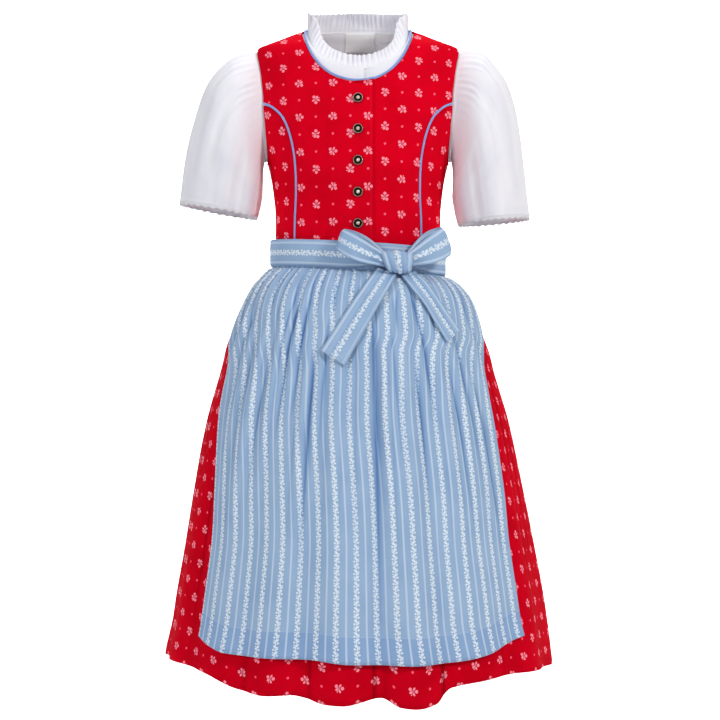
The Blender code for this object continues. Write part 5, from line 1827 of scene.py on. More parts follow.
@dataclass
class Trimmings:
    """Blue piping round the neck and in the curved seams, and five pewter buttons."""

    piping: Material
    pewter: Material
    first_button: float = -89.0 * MM
    button_pitch: float = 40.0 * MM
    buttons: int = 5
    button_radius: float = 6.5 * MM
    button_height: float = 3.4 * MM

    def front_point(self, angle: float, side: int) -> Vector:
        """A point of the piping on the front neckline; the right front's is raised.

        Args:
            angle: angle along the neckline, 0 at the middle.
            side: +1 for the wearer's left, -1 for the right.

        Returns:
            The point.
        """
        turn, height = neck_edge(NECK_HALF_WIDTH, SHOULDER_POINT, NECK_DROP, angle, angle)(0.0)
        lift = lap_lift(torso_point(turn, height).x) + SEAM_GAP if side < 0 else 0.0
        point = on_torso(turn, height, PIPING_LIFT + lift + crease_lift(side * turn, height))
        return on_side(point, side)

    def neck_points(self) -> list[Vector]:
        """The line of the neck piping, from the left front round the back to the right one.

        Returns:
            The points in order.
        """
        start = asin((RIGHT_FRONT_LAP - 7.0 * MM) / NECK_HALF_WIDTH)
        first = asin(-RIGHT_FRONT_LAP / (NECK_HALF_WIDTH + NECK_SEAT))
        steps = 44
        points = [self.front_point(mix(start, QUARTER_TURN, i / steps), 1) for i in range(steps)]
        for i in range(61):
            turn = mix(QUARTER_TURN, 1.5 * pi, i / 60)
            height = back_neck_height(turn, SHOULDER_POINT, BACK_NECK)
            points.append(on_torso(turn, height, PIPING_LIFT + crease_lift(turn, height)))
        points += [self.front_point(mix(QUARTER_TURN, first, (i + 1) / 60), -1) for i in range(60)]
        return points

    def seam_points(self, side: int) -> list[Vector]:
        """The line of the piping in one curved seam.

        Args:
            side: +1 for the wearer's left, -1 for the right.

        Returns:
            The points from the waist up.
        """
        points = []
        for i in range(71):
            turn, height = front_seam_edge(min(max(i / 70, 0.005), 0.99))
            point = on_torso(turn, height, PIPING_LIFT + crease_lift(side * turn, height))
            points.append(on_side(point, side))
        return points

    def button(self, name: str, height: float) -> Item:
        """One domed button: a worn rim like fine rope, a deep ring and a bright dome.

        Args:
            name: its name.
            height: height of its middle.

        Returns:
            The button, seated on the upper front.
        """
        profile = ((0.0, 1.06), (0.10, 1.05), (0.20, 0.99), (0.30, 0.88), (0.38, 0.74), (0.44, 0.58),
                   (0.48, 0.42), (0.53, 0.33), (0.60, 0.30), (0.67, 0.32), (0.72, 0.42), (0.77, 0.60),
                   (0.83, 0.74), (0.89, 0.78), (0.94, 0.72), (0.98, 0.56), (1.0, 0.36), (0.98, 0.16),
                   (0.93, 0.03), (0.70, 0.0), (0.0, 0.0))
        table = Table([(i / (len(profile) - 1), *row) for i, row in enumerate(profile)], 1.0, 1.0)
        normal = torso_frame(0.0, height)[2]
        across = Vector((1.0, 0.0, 0.0))
        up = normal.cross(across).normalized()
        seat = on_torso(0.0, height, LAP_LIFT + SEAM_GAP + 0.1 * MM)

        def place(u: float, v: float) -> Vector:
            """The point at two shares.

            Args:
                u: share of the way across.
                v: share of the way up.

            Returns:
                The point.
            """
            radius, rise = table.at(1.0 - v)
            angle = FULL_TURN * u
            rope = 0.035 * cos(36.0 * angle) * hump((radius - 0.9) / 0.12)
            rise += rope * (1.0 if rise > 0.4 else 0.0)
            flat = across * cos(angle) + up * sin(angle)
            return seat + flat * (radius * self.button_radius) + normal * (rise * self.button_height)

        turned = bmesh.new()
        bend(turned, 108, 40, place,
             lambda u, v: (u * FULL_TURN * self.button_radius / MM * 0.5, 1.0 - v))
        bmesh.ops.remove_doubles(turned, verts=turned.verts, dist=0.01 * MM)
        bmesh.ops.recalc_face_normals(turned, faces=turned.faces)
        return finished(name, turned, self.pewter)

    def build(self) -> None:
        """Build the piping and the buttons."""
        neck = Cord("neck_piping_cord", self.neck_points(), PIPING_RADIUS, self.piping).build()
        present(neck, "neck_piping", Slot.PIPING)
        for name, side in (("right", -1), ("left", 1)):
            cord = Cord(f"seam_piping_{name}_cord", self.seam_points(side), PIPING_RADIUS, self.piping)
            present(cord.build(), f"seam_piping_{name}", Slot.PIPING)
        for i in range(self.buttons):
            name = f"button_{i + 1}"
            item = self.button(name + "_turned", self.first_button - i * self.button_pitch)
            present(item, name, Slot.PEWTER)


@dataclass
class Blouse:
    """The white blouse under the dress: fronts, back, gathered stand collar and labels."""

    batiste: Material
    # A lighter copy of the batiste for the back: painted light for its shaded inside
    lightened_back_batiste: Material
    lightened_collar_batiste: Material
    satin: Material
    hem: float = -190.0 * MM
    neck_half_width: float = 68.5 * MM
    neck_point: float = 14.6 * MM
    neck_drop: float = 60.6 * MM
    back_neck: float = 21.0 * MM
    growth: float = 5.8 * MM
    lap: float = 9.0 * MM
    collar_waves: int = 58
    collar_seat: float = 1.7 * MM
    wave_height: float = 1.9 * MM
    collar_lap: float = 9.5 * MM
    collar_length: float = 0.66
    collar_width: float = 0.020
    rows: int = 60

    def front(self, name: str, side: int, sunk: bool) -> None:
        """Build one front, cropped under the bust; the left one lies under the right.

        Args:
            name: its name.
            side: +1 for the wearer's left, -1 for the right.
            sunk: whether it lies under the other front.
        """
        start_angle = asin(-self.lap / self.neck_half_width)
        neck = neck_edge(self.neck_half_width, self.neck_point, self.neck_drop, start_angle,
                         QUARTER_TURN)
        neck_bottom = neck(0.0)[1]
        lower_hole = armhole_edge(pi, QUARTER_TURN, self.growth)
        upper_hole = armhole_edge(QUARTER_TURN, 0.0, self.growth)
        armpit, tip = lower_hole(0.0)[1], upper_hole(1.0)[1]
        split, side_part = 5.0 / 14.0, 0.2

        def lap_edge(share: float) -> Pair:
            """A point of the edge that laps over the middle."""
            height = mix(self.hem, neck_bottom, share)
            return turn_at(-self.lap, height), height

        neck_corner = (side_turn(self.neck_point, SHOULDER_TRIM, False), self.neck_point)
        tip_corner = (side_turn(tip, SHOULDER_TRIM, False), tip)
        side_line = side_edge(self.hem, armpit, SIDE_TRIM, False)
        below = joined(side_line, lower_hole, side_part)
        patch = filled(straight_edge((turn_at(-self.lap, self.hem), self.hem), side_line(0.0)),
                       straight_edge(neck_corner, tip_corner),
                       joined(lap_edge, trimmed_end(neck, neck_corner), split),
                       joined(below, trimmed_end(upper_hole, tip_corner), split))
        sink = BLOUSE_WALL + 1.2 * MM if sunk else 0.0

        def place(u: float, v: float) -> Vector:
            """The point at two shares.

            Args:
                u: share of the way across.
                v: share of the way up.

            Returns:
                The point.
            """
            turn, height = patch(u, v)
            lapped = sink * smooth_step(torso_point(turn, height).x, 30.0 * MM, 12.0 * MM)
            return under_layer(turn, height, BLOUSE_LIFT - lapped)

        Cloth(name, 36, self.rows, mirrored(place, side), torso_print(patch, side), BLOUSE_WALL,
              self.batiste
              ).sew(Slot.WHITE, Cut(0.180, 0.245, Held.HUNG, ("collar_ruffle",), 0.0262))

    def collar_foot(self, around: float) -> Pair:
        """Turn and height of the collar's foot, for an angle from the middle front.

        Args:
            around: angle from the middle front.

        Returns:
            Turn and height.
        """
        turned = wrapped(around)
        if abs(turned) <= QUARTER_TURN:
            height = self.neck_point - self.neck_drop * cos(turned)
            half_width = self.neck_half_width - self.collar_seat
            return turn_at(half_width * sin(turned), height), height
        return around, back_neck_height(abs(turned), self.neck_point, self.back_neck)

    def collar_point(self, u: float, v: float) -> Vector:
        """A point of the gathered stand collar; u runs round the neck and v up the ruffle.

        Args:
            u: share of the way across.
            v: share of the way up.

        Returns:
            The point.
        """
        lap = self.collar_lap / self.neck_half_width
        around = mix(-0.6 * lap, FULL_TURN + lap, u)
        rise, lean, depth, spread = COLLAR.at(abs(wrapped(around)))
        base = on_torso(*self.collar_foot(around), BLOUSE_LIFT - BLOUSE_WALL - 0.6 * MM + spread)
        outward = Vector((base.x, base.y, 0.0)).normalized()
        end = min((1.0 - u) / 0.026, 1.0)
        rise *= mix(0.12, 1.0, sqrt(max(1.0 - (1.0 - end) ** 2, 0.0)))
        phase = FULL_TURN * self.collar_waves * u
        phase += 1.1 * sin(11.0 * around) + 0.7 * sin(4.0 * around)
        uneven = 0.72 + 0.28 * sin(5.3 * around + 0.8) * cos(3.1 * around)
        flare = smooth_step(v, 0.10, 0.85)
        wave = self.wave_height * uneven * mix(0.10, 1.0, flare) * cos(phase)
        roll = 0.8 * MM * smooth_step(v, 0.75, 1.0) * sin(3.0 * around)
        under_lap = smooth_step(u, 0.04, 0.0) * 2.2 * self.wave_height
        inward = lean * v - wave + under_lap - roll
        crown = 0.7 * MM * flare * sin(phase + 0.7)
        stitched = 0.5 * MM * hump((v - 0.13) / 0.07)
        height = mix(self.collar_seat - depth, self.collar_seat + rise, v) + crown
        return base + Vector((0.0, 0.0, height)) - outward * (inward + stitched)

    def label(self, name: str, left: float, right: float, bottom: float, top: float) -> None:
        """Build a blank label on the inside of the back, its lower edge a little free.

        Args:
            name: its name.
            left: its right edge on the wearer, in millimetres.
            right: its left edge on the wearer, in millimetres.
            bottom: height of its lower edge, in millimetres.
            top: height of its upper edge, in millimetres.
        """
        lift = BLOUSE_BACK_LIFT - BLOUSE_WALL + 0.12 * MM

        def place(u: float, v: float) -> Vector:
            """The point at two shares.

            Args:
                u: share of the way across.
                v: share of the way up.

            Returns:
                The point.
            """
            height = mix(bottom, top, v) * MM
            turn = pi - turn_at(mix(right, left, u) * MM, height)
            free = 0.7 * MM * smooth_step(v, 0.4, 0.0) * (0.6 + 0.4 * sin(4.0 * u + 0.6))
            return on_torso(turn, height, lift - free)

        width, height = (right - left) * MM, (top - bottom) * MM
        Cloth(name, 24, 16, place, lambda u, v: (width * u, height * v), 0.4 * MM, self.satin
              ).sew(Slot.LABEL, Cut(width, max(height, 11.0 * MM), Held.HUNG, ("blouse_back",)))

    def build(self) -> None:
        """Build the blouse's body, collar and labels."""
        self.front("blouse_front_right", -1, False)
        self.front("blouse_front_left", 1, True)
        back = BackPanel("blouse_back", self.hem, self.neck_point, self.back_neck, self.growth,
                         self.rows, 70, side_part=0.09)
        Cloth(back.name, back.columns, back.rows,
              back.place(lambda turn, height: under_layer(turn, height, BLOUSE_BACK_LIFT)),
              back.flat(), BLOUSE_WALL, self.lightened_back_batiste
              ).sew(Slot.WHITE, Cut(0.375, 0.235, Held.HUNG, ("collar_ruffle",), 0.0585))
        length, width = self.collar_length, self.collar_width
        Cloth("collar_ruffle", 10 * self.collar_waves, 14, self.collar_point,
              lambda u, v: (length * u, width * v), 0.8 * MM, self.lightened_collar_batiste, offset=0.0
              ).sew(Slot.WHITE, Cut(length, width, Held.GATHERED, ("blouse_back", "blouse_front_right")))
        self.label("neck_label", -19.0, 24.0, -6.0, 19.0)
        self.label("size_tab", 28.0, 43.0, 8.0, 17.5)


@dataclass
class Sleeve:
    """One puffed short sleeve, gathered into the armhole, with scalloped lace at its hem."""

    name: str
    rings: Sequence[SleeveRing]
    side: int
    batiste: Material
    lace: Material
    tuck: float = 4.3 * MM
    seam_growth: float = -2.8 * MM
    seam_share: float = 0.03
    puff_share: float = 0.06
    lift: float = -3.7 * MM
    length: float = 0.205
    hem_width: float = 0.345
    gathers: int = 44
    scallops: int = 31
    lace_drop: float = 5.0 * MM
    row_spread: float = 1.25
    table: Table = field(init=False)

    def __post_init__(self) -> None:
        """Join the rings by smooth curves."""
        self.table = Table(self.rings, 1.0, MM)

    def armhole(self, angle: float, growth: float, lift: float) -> Vector:
        """A point of a ring that follows the armhole, larger or smaller than it."""
        turn, height = armhole_edge(angle, angle, growth)(0.0)
        return under_layer(turn, height, lift) if lift < 0.0 else on_torso(turn, height, lift)

    def swell(self, angle: float, share: float) -> float:
        """How far gathers and folds push the sleeve out at an angle round it.

        Args:
            angle: angle round the sleeve, 0 at its top.
            share: share of the way from the armhole to the hem.

        Returns:
            The distance.
        """
        cap = smooth_step(cos(angle), -0.45, 0.35)
        phase = self.gathers * angle + 1.3 * sin(5.0 * angle) + 0.8 * sin(3.0 * angle + 1.0)
        uneven = 0.65 + 0.35 * sin(7.0 * angle + 0.4)
        reach = 0.20 + 0.13 * sin(9.0 * angle + 2.0) + 0.08 * sin(4.0 * angle)
        gathers = 1.5 * MM * cos(phase) * uneven * cap
        gathers *= smooth_step(share, 0.03, 0.07) * smooth_step(share, reach + 0.12, 0.08)
        folds = 0.0
        for fold in SLEEVE_FOLDS:
            grown = smooth_step(share, fold.start, fold.start + 0.3)
            grown *= smooth_step(share, fold.end + 0.12, fold.end - 0.25)
            folds += fold.height * MM * hump(fold.ratio(angle)) * grown
        return gathers + folds

    def point(self, angle: float, share: float) -> Vector:
        """A point of the sleeve below the armhole seam.

        Args:
            angle: angle round the sleeve, 0 at its top.
            share: share of the way from the armhole to the hem.

        Returns:
            The point.
        """
        outer_x, outer_z, inner_x, inner_z, depth = self.table.at(share)
        centre = Vector((0.5 * (outer_x + inner_x), 0.0, 0.5 * (outer_z + inner_z)))
        reach = Vector((0.5 * (outer_x - inner_x), 0.0, 0.5 * (outer_z - inner_z)))
        swell = self.swell(angle, share)
        ring = centre + reach * ((1.0 + swell / reach.length) * cos(angle))
        ring.y = -(depth + swell) * sin(angle)
        hold = 1.0 - smooth_step(share, 0.03, 0.2)
        return ring.lerp(self.armhole(angle, -5.6 * MM, 2.2 * MM), hold)

    def place(self, u: float, v: float) -> Vector:
        """The placing on the wearer's left; u runs round and v from the hem to the armhole.

        Args:
            u: share of the way across.
            v: share of the way up.

        Returns:
            The point.
        """
        share = (1.0 - v) ** self.row_spread
        angle = FULL_TURN * u
        if share <= self.seam_share:
            growth = mix(self.tuck, self.seam_growth, share / self.seam_share)
            return self.armhole(angle, growth, self.lift)
        if share < self.puff_share:
            seam = self.armhole(angle, self.seam_growth, self.lift)
            rise = (share - self.seam_share) / self.seam_share
            return seam.lerp(self.point(angle, self.puff_share), rise)
        return self.point(angle, share)

    def flat(self, u: float, v: float) -> Pair:
        """Where a point lies on the cloth, measured up from the hem."""
        return self.hem_width * u, self.length * (1.0 - (1.0 - v) ** self.row_spread)

    def hem_line(self, angle: float) -> tuple[Vector, Vector]:
        """A point of the hem and the direction in which the cloth hangs there."""
        hem = self.point(angle, 1.0)
        return hem, (hem - self.point(angle, 0.95)).normalized()

    def lace_place(self, u: float, v: float) -> Vector:
        """The placing of the lace's close worked part; v runs up to the hem.

        Args:
            u: share of the way across.
            v: share of the way up.

        Returns:
            The point.
        """
        angle = FULL_TURN * u
        hem, down = self.hem_line(angle)
        scallop = 0.5 - 0.5 * cos(self.scallops * angle)
        drop = -1.2 * MM + (1.0 - v) * (1.2 * MM + self.lace_drop * mix(0.25, 0.62, scallop))
        point = hem + down * drop
        middle = Vector((0.5 * (self.table.at(1.0)[0] + self.table.at(1.0)[2]), 0.0, point.z))
        return point + (point - middle).normalized() * 0.7 * MM

    def loop_points(self) -> list[Vector]:
        """The line of the thread that runs in small loops along the scallops.

        Returns:
            The points of a closed ring.
        """
        points = []
        loops = 4 * self.scallops
        count = loops * 10
        for i in range(count):
            angle = FULL_TURN * i / count
            phase = loops * angle
            scallop = 0.5 - 0.5 * cos(self.scallops * angle)
            hem, down = self.hem_line(angle + 0.35 * sin(2.0 * phase) / loops)
            picot = 0.5 - 0.5 * cos(phase)
            drop = self.lace_drop * mix(0.20, 0.56, scallop) + 1.9 * MM * picot
            points.append(hem + down * drop)
        return points

    def build(self) -> None:
        """Build the sleeve and its lace."""
        side, sleeve, lace = self.side, f"sleeve_{self.name}", f"sleeve_lace_{self.name}"
        carried_by = (f"blouse_front_{self.name}", "blouse_back")
        Cloth(sleeve, 260, 64, mirrored(self.place, side), mirrored_print(self.flat, side),
              BLOUSE_WALL, self.batiste, tube=True
              ).sew(Slot.WHITE, Cut(0.38, self.length, Held.GATHERED, carried_by, 0.066))
        Cloth(lace, 12 * self.scallops, 5, mirrored(self.lace_place, side),
              lambda u, v: (self.hem_width * u, self.lace_drop * v), 0.5 * MM, self.lace, tube=True
              ).sew(Slot.LACE, Cut(self.hem_width, 0.010, Held.STRETCHED, (sleeve,), 0.0013))
        points = [on_side(point, side) for point in self.loop_points()]
        loops = Cord(f"sleeve_loops_{self.name}", points, 0.33 * MM, self.lace, sides=5, ring=True)
        present(loops.build(), lace, Slot.LACE)


def level_point(section: tuple[float, ...], turn: float, lift: float) -> Vector:
    """A point at height 0, a level distance outside a section.

    Args:
        section: half width, front depth and back depth.
        turn: angle from the middle front towards +X.
        lift: distance outside the section.

    Returns:
        The point.
    """
    half_width, front, back = section
    depth = front if cos(turn) > 0.0 else back
    point = Vector((half_width * sin(turn), -depth * cos(turn), 0.0))
    return point + Vector((point.x / half_width ** 2, point.y / depth ** 2, 0.0)).normalized() * lift


def skirt_point(turn: float, height: float, lift: float) -> Vector:
    """A point at a level distance outside the skirt's plain form.

    Args:
        turn: angle from the middle front towards +X.
        height: height of the point.
        lift: distance outside the form.

    Returns:
        The point.
    """
    point = level_point(SKIRT.at(height), turn, lift)
    fall = (WAIST - height) / (WAIST - SKIRT_HEM_LINE.at(0.0)[0])
    tilt = WAIST_TILT * smooth_step(fall, 0.0, 0.03) * (1.0 - min(fall, 1.0)) ** 3
    point.z = height - tilt * point.x
    return point


def skirt_lift(turn: float, fall: float) -> float:
    """How far the long folds and the flare on the wearer's left push the skirt out.

    Args:
        turn: angle from the middle front.
        fall: 0 at the waist and 1 at the hem.

    Returns:
        The distance from the skirt's plain form.
    """
    lift = 0.0
    for fold in SKIRT_FOLDS:
        grown = smooth_step(fall, fold.start, 1.0) * 0.5 + 0.5 * max(fall - fold.start, 0.0)
        lift += fold.height * MM * hump(fold.ratio(turn)) * grown
    side = sin(turn)
    flare = 8.0 * MM * max(side, 0.0) ** 2
    flare *= smooth_step(fall, 0.014, 0.058) * smooth_step(fall, 0.22, 0.08)
    close = 4.5 * MM * max(-side, 0.0) ** 2
    close *= smooth_step(fall, 0.45, 0.8) * smooth_step(fall, 1.0, 0.9)
    return lift + flare - close - 3.5 * MM * fall


def short_folds(folds: Sequence[Fold], turn: float, fall: float, rise: float, fade: float) -> float:
    """How far the smaller folds raise the cloth.

    Args:
        folds: the folds.
        turn: angle from the middle front.
        fall: share of the way down.
        rise: share of the way over which a fold grows.
        fade: share of its length over which it fades at its end.

    Returns:
        The lift.
    """
    lift = 0.0
    for fold in folds:
        ratio = fold.ratio(turn)
        if abs(ratio) < 1.0:
            grown = smooth_step(fall, fold.start, fold.start + rise)
            grown *= smooth_step(fall, fold.end, fold.end * fade)
            profile = hump(ratio) if fold.height > 0.0 else groove(ratio)
            lift += fold.height * MM * profile * grown
    return lift


@dataclass
class Skirt:
    """The red skirt, gathered into the waist seam and hanging in long soft folds."""

    cloth: Material
    front_columns: int = 240
    back_columns: int = 300
    rows: int = 92
    length: float = 0.552
    gathers: int = 46
    row_spread: float = 1.5
    fullness: float = 1.03
    print_rise: float = 44.0 * MM

    def height(self, turn: float, fall: float) -> float:
        """Height of the skirt at a share of the way down to its hem."""
        return mix(WAIST - 0.5 * SEAM_GAP, SKIRT_HEM_LINE.at(wrapped(turn))[0], fall)

    def gather_lift(self, turn: float, fall: float) -> float:
        """The fine gathers under the waist seam of the back, uneven in height and length.

        Args:
            turn: angle from the middle front towards +X.
            fall: share of the way down.

        Returns:
            The lift.
        """
        phase = self.gathers * turn + 1.2 * sin(7.0 * turn) + 0.9 * sin(3.0 * turn)
        length = 0.15 + 0.08 * sin(9.0 * turn + 1.0) + 0.07 * sin(4.0 * turn)
        uneven = 0.7 + 0.3 * sin(11.0 * turn + 0.5)
        inside = smooth_step(-cos(turn), -0.02, 0.12)
        wave = (0.5 + 0.5 * cos(phase)) * uneven * smooth_step(fall, 0.0, 0.035)
        return 3.0 * MM * wave * inside * smooth_step(fall, length + 0.08, 0.02)

    def half(self, name: str, middle: float, columns: int, under: tuple[str, ...]) -> None:
        """Build the front or the back, between the side seams.

        Args:
            name: its name.
            middle: turn of its middle.
            columns: faces across.
            under: names of the solids that carry it.
        """
        half_width, front, back = SKIRT.at(SKIRT_BOTTOM)
        depth = front if cos(middle) > 0.0 else back
        reach = QUARTER_TURN - SIDE_TRIM / half_width

        def spot(u: float, v: float) -> Pair:
            """Turn and share of the way down."""
            return middle + mix(-reach, reach, u), (1.0 - v) ** self.row_spread

        def place(u: float, v: float) -> Vector:
            """The point at two shares.

            Args:
                u: share of the way across.
                v: share of the way up.

            Returns:
                The point.
            """
            turn, fall = spot(u, v)
            lift = skirt_lift(turn, fall) + self.gather_lift(turn, fall)
            lift += short_folds(SKIRT_CREASES, turn, fall, 0.12, 0.6)
            return skirt_point(turn, self.height(turn, fall), lift)

        def flat(u: float, v: float) -> Pair:
            """Where a point lies on the cloth.

            Args:
                u: share of the way across.
                v: share of the way up.

            Returns:
                Across and up, in metres.
            """
            turn, fall = spot(u, v)
            across = ellipse_arc(half_width, depth, turn - middle) * self.fullness
            return across, (1.0 - fall) * self.length - self.print_rise

        Cloth(name, columns, self.rows, place, flat, DRESS_WALL, self.cloth
              ).sew(Slot.RED, Cut(0.78, 0.56, Held.GATHERED, under, 0.400))

    def build(self) -> None:
        """Build both halves."""
        self.half("skirt_front", 0.0, self.front_columns, ("bodice_front_right", "bodice_front_left"))
        self.half("skirt_back", pi, self.back_columns, ("bodice_back",))


@dataclass
class Apron:
    """The apron: one wide striped piece gathered into a waistband."""

    stripe: Material
    band_stripe: Material
    columns: int = 340
    rows: int = 120
    length: float = 0.490
    hem_depth: float = 33.0 * MM
    top: float = BAND_BOTTOM + 4.0 * MM
    tucked_lift: float = 2.8 * MM
    band_turn: float = 92.0 * DEGREE
    band_length: float = 0.315
    row_spread: float = 1.45
    arcs: list[float] = field(init=False)

    def __post_init__(self) -> None:
        """Measure along the hem, so that the stripes lie where they do on the flat cloth."""
        right, left = -APRON_EDGES[0][1] * DEGREE, APRON_EDGES[0][2] * DEGREE
        half_width, front, _ = SKIRT.at(APRON_BOTTOM)
        spans = 64
        self.arcs = [ellipse_arc(half_width, front, mix(right, left, i / spans))
                     for i in range(spans + 1)]

    def gather_lift(self, u: float, fall: float) -> float:
        """How far the gathers under the band raise the cloth.

        Args:
            u: share of the way across.
            fall: share of the way down.

        Returns:
            The lift.
        """
        lift = 0.0
        for gather in APRON_GATHERS:
            if fall < gather.end:
                half_width = gather.half_width * (1.0 + 1.1 * fall / gather.end)
                drift = 0.03 * fall * sin(37.0 * gather.place)
                held = bead((u - gather.place - drift) / half_width)
                fade = smooth_step(fall, 0.85 * gather.end, 0.1 * gather.end)
                lift = max(lift, (gather.height + 0.4) * MM * held * fade)
        return lift

    def place(self, u: float, v: float) -> Vector:
        """A point of the apron; u runs from its right edge to its left, v from hem to band.

        Args:
            u: share of the way across.
            v: share of the way up.

        Returns:
            The point.
        """
        fall = (1.0 - v) ** self.row_spread
        hem_turn = mix(-APRON_EDGES[0][1], APRON_EDGES[0][2], u) * DEGREE
        height = mix(self.top, APRON_HEM_LINE.at(hem_turn)[0], fall)
        right, left = APRON_EDGE_LINE.at(height)
        turn = mix(-right, left, u)
        skirt_fall = (WAIST - height) / (WAIST - SKIRT_HEM_LINE.at(turn)[0])
        ripple = self.gather_lift(u, fall) + short_folds(APRON_CREASES, turn, fall, 0.16, 0.35)
        ripple = min(ripple, self.free_height(skirt_point(turn, height, 0.0)))
        lift = apron_clearance(fall) + skirt_lift(turn, skirt_fall) + ripple
        lift = mix(lift, self.tucked_lift, smooth_step(height, BAND_BOTTOM - 2.6 * MM, BAND_BOTTOM))
        up = (1.0 - fall) * self.length
        lift += 0.35 * MM * smooth_step(up, self.hem_depth + 0.6 * MM, self.hem_depth - 0.6 * MM)
        return skirt_point(turn, height, lift)

    def free_height(self, point: Vector) -> float:
        """How high the folds may stand at a point, less where the bow's tails press on them.

        Args:
            point: the point.

        Returns:
            The height.
        """
        free = 1.0
        if point.y < 0.0:
            for tail in (RIGHT_TAIL, LEFT_TAIL):
                first, last = tail[0], tail[-1]
                start = Vector((0.5 * (first[0] + first[2]), 0.5 * (first[1] + first[3]))) * MM
                end = Vector((0.5 * (last[0] + last[2]), 0.5 * (last[1] + last[3]))) * MM
                place = Vector((point.x, point.z))
                along = (end - start).normalized()
                run = min(max((place - start).dot(along), 0.0), (end - start).length)
                off = (place - start - along * run).length
                free = min(free, 2.4 * MM + 0.4 * max(off - 19.0 * MM, 0.0))
        return free

    def flat(self, u: float, v: float) -> Pair:
        """Where a point lies on the cloth, across from the middle and up from the hem.

        Args:
            u: share of the way across.
            v: share of the way up.

        Returns:
            Across and up, in metres.
        """
        spans = len(self.arcs) - 1
        place = min(max(u, 0.0), 1.0) * spans
        i = min(int(place), spans - 1)
        up = (1.0 - (1.0 - v) ** self.row_spread) * self.length
        return mix(self.arcs[i], self.arcs[i + 1], place - i), up

    def build(self) -> None:
        """Build the apron and its band."""
        # The apron's fold hollows get somewhat less painted shade
        Cloth("apron_skirt", self.columns, self.rows, self.place, self.flat, APRON_WALL, self.stripe,
              shade=0.72).sew(Slot.BLUE, Cut(0.48, 0.50, Held.GATHERED, ("apron_band",)))

        def place(u: float, v: float) -> Vector:
            """The point at two shares.

            Args:
                u: share of the way across.
                v: share of the way up.

            Returns:
                The point.
            """
            turn = mix(-self.band_turn, self.band_turn, u)
            pucker = 0.35 * MM * sin(71.0 * turn + 1.5 * sin(9.0 * turn))
            pucker *= smooth_step(v, 0.45, 0.0)
            return waist_strip(turn, mix(BAND_BOTTOM, BAND_TOP, v), BAND_LIFT + pucker)

        Cloth("apron_band", 260, 12, place,
              lambda u, v: ((v - 0.5) * (BAND_TOP - BAND_BOTTOM), self.band_length * u), APRON_WALL,
              self.band_stripe
              ).sew(Slot.BLUE, Cut(0.040, self.band_length, Held.STRETCHED, ("skirt_front",)))


def apron_clearance(fall: float) -> float:
    """Distance from the skirt's form to the apron's face, before gathers and creases."""
    return mix(3.6 * MM, 7.0 * MM, smooth_step(fall, 0.0, 0.35))


def waist_strip(turn: float, height: float, lift: float) -> Vector:
    """A point of the band or a tie round the waist, tilted a little down to the wearer's left.

    Args:
        turn: angle from the middle front towards +X.
        height: height of the point.
        lift: distance outside the form.

    Returns:
        The point.
    """
    point = level_point(TORSO.at(0.5 * (BAND_TOP + BAND_BOTTOM)), turn, lift)
    point.z = height - WAIST_TILT * point.x
    return point


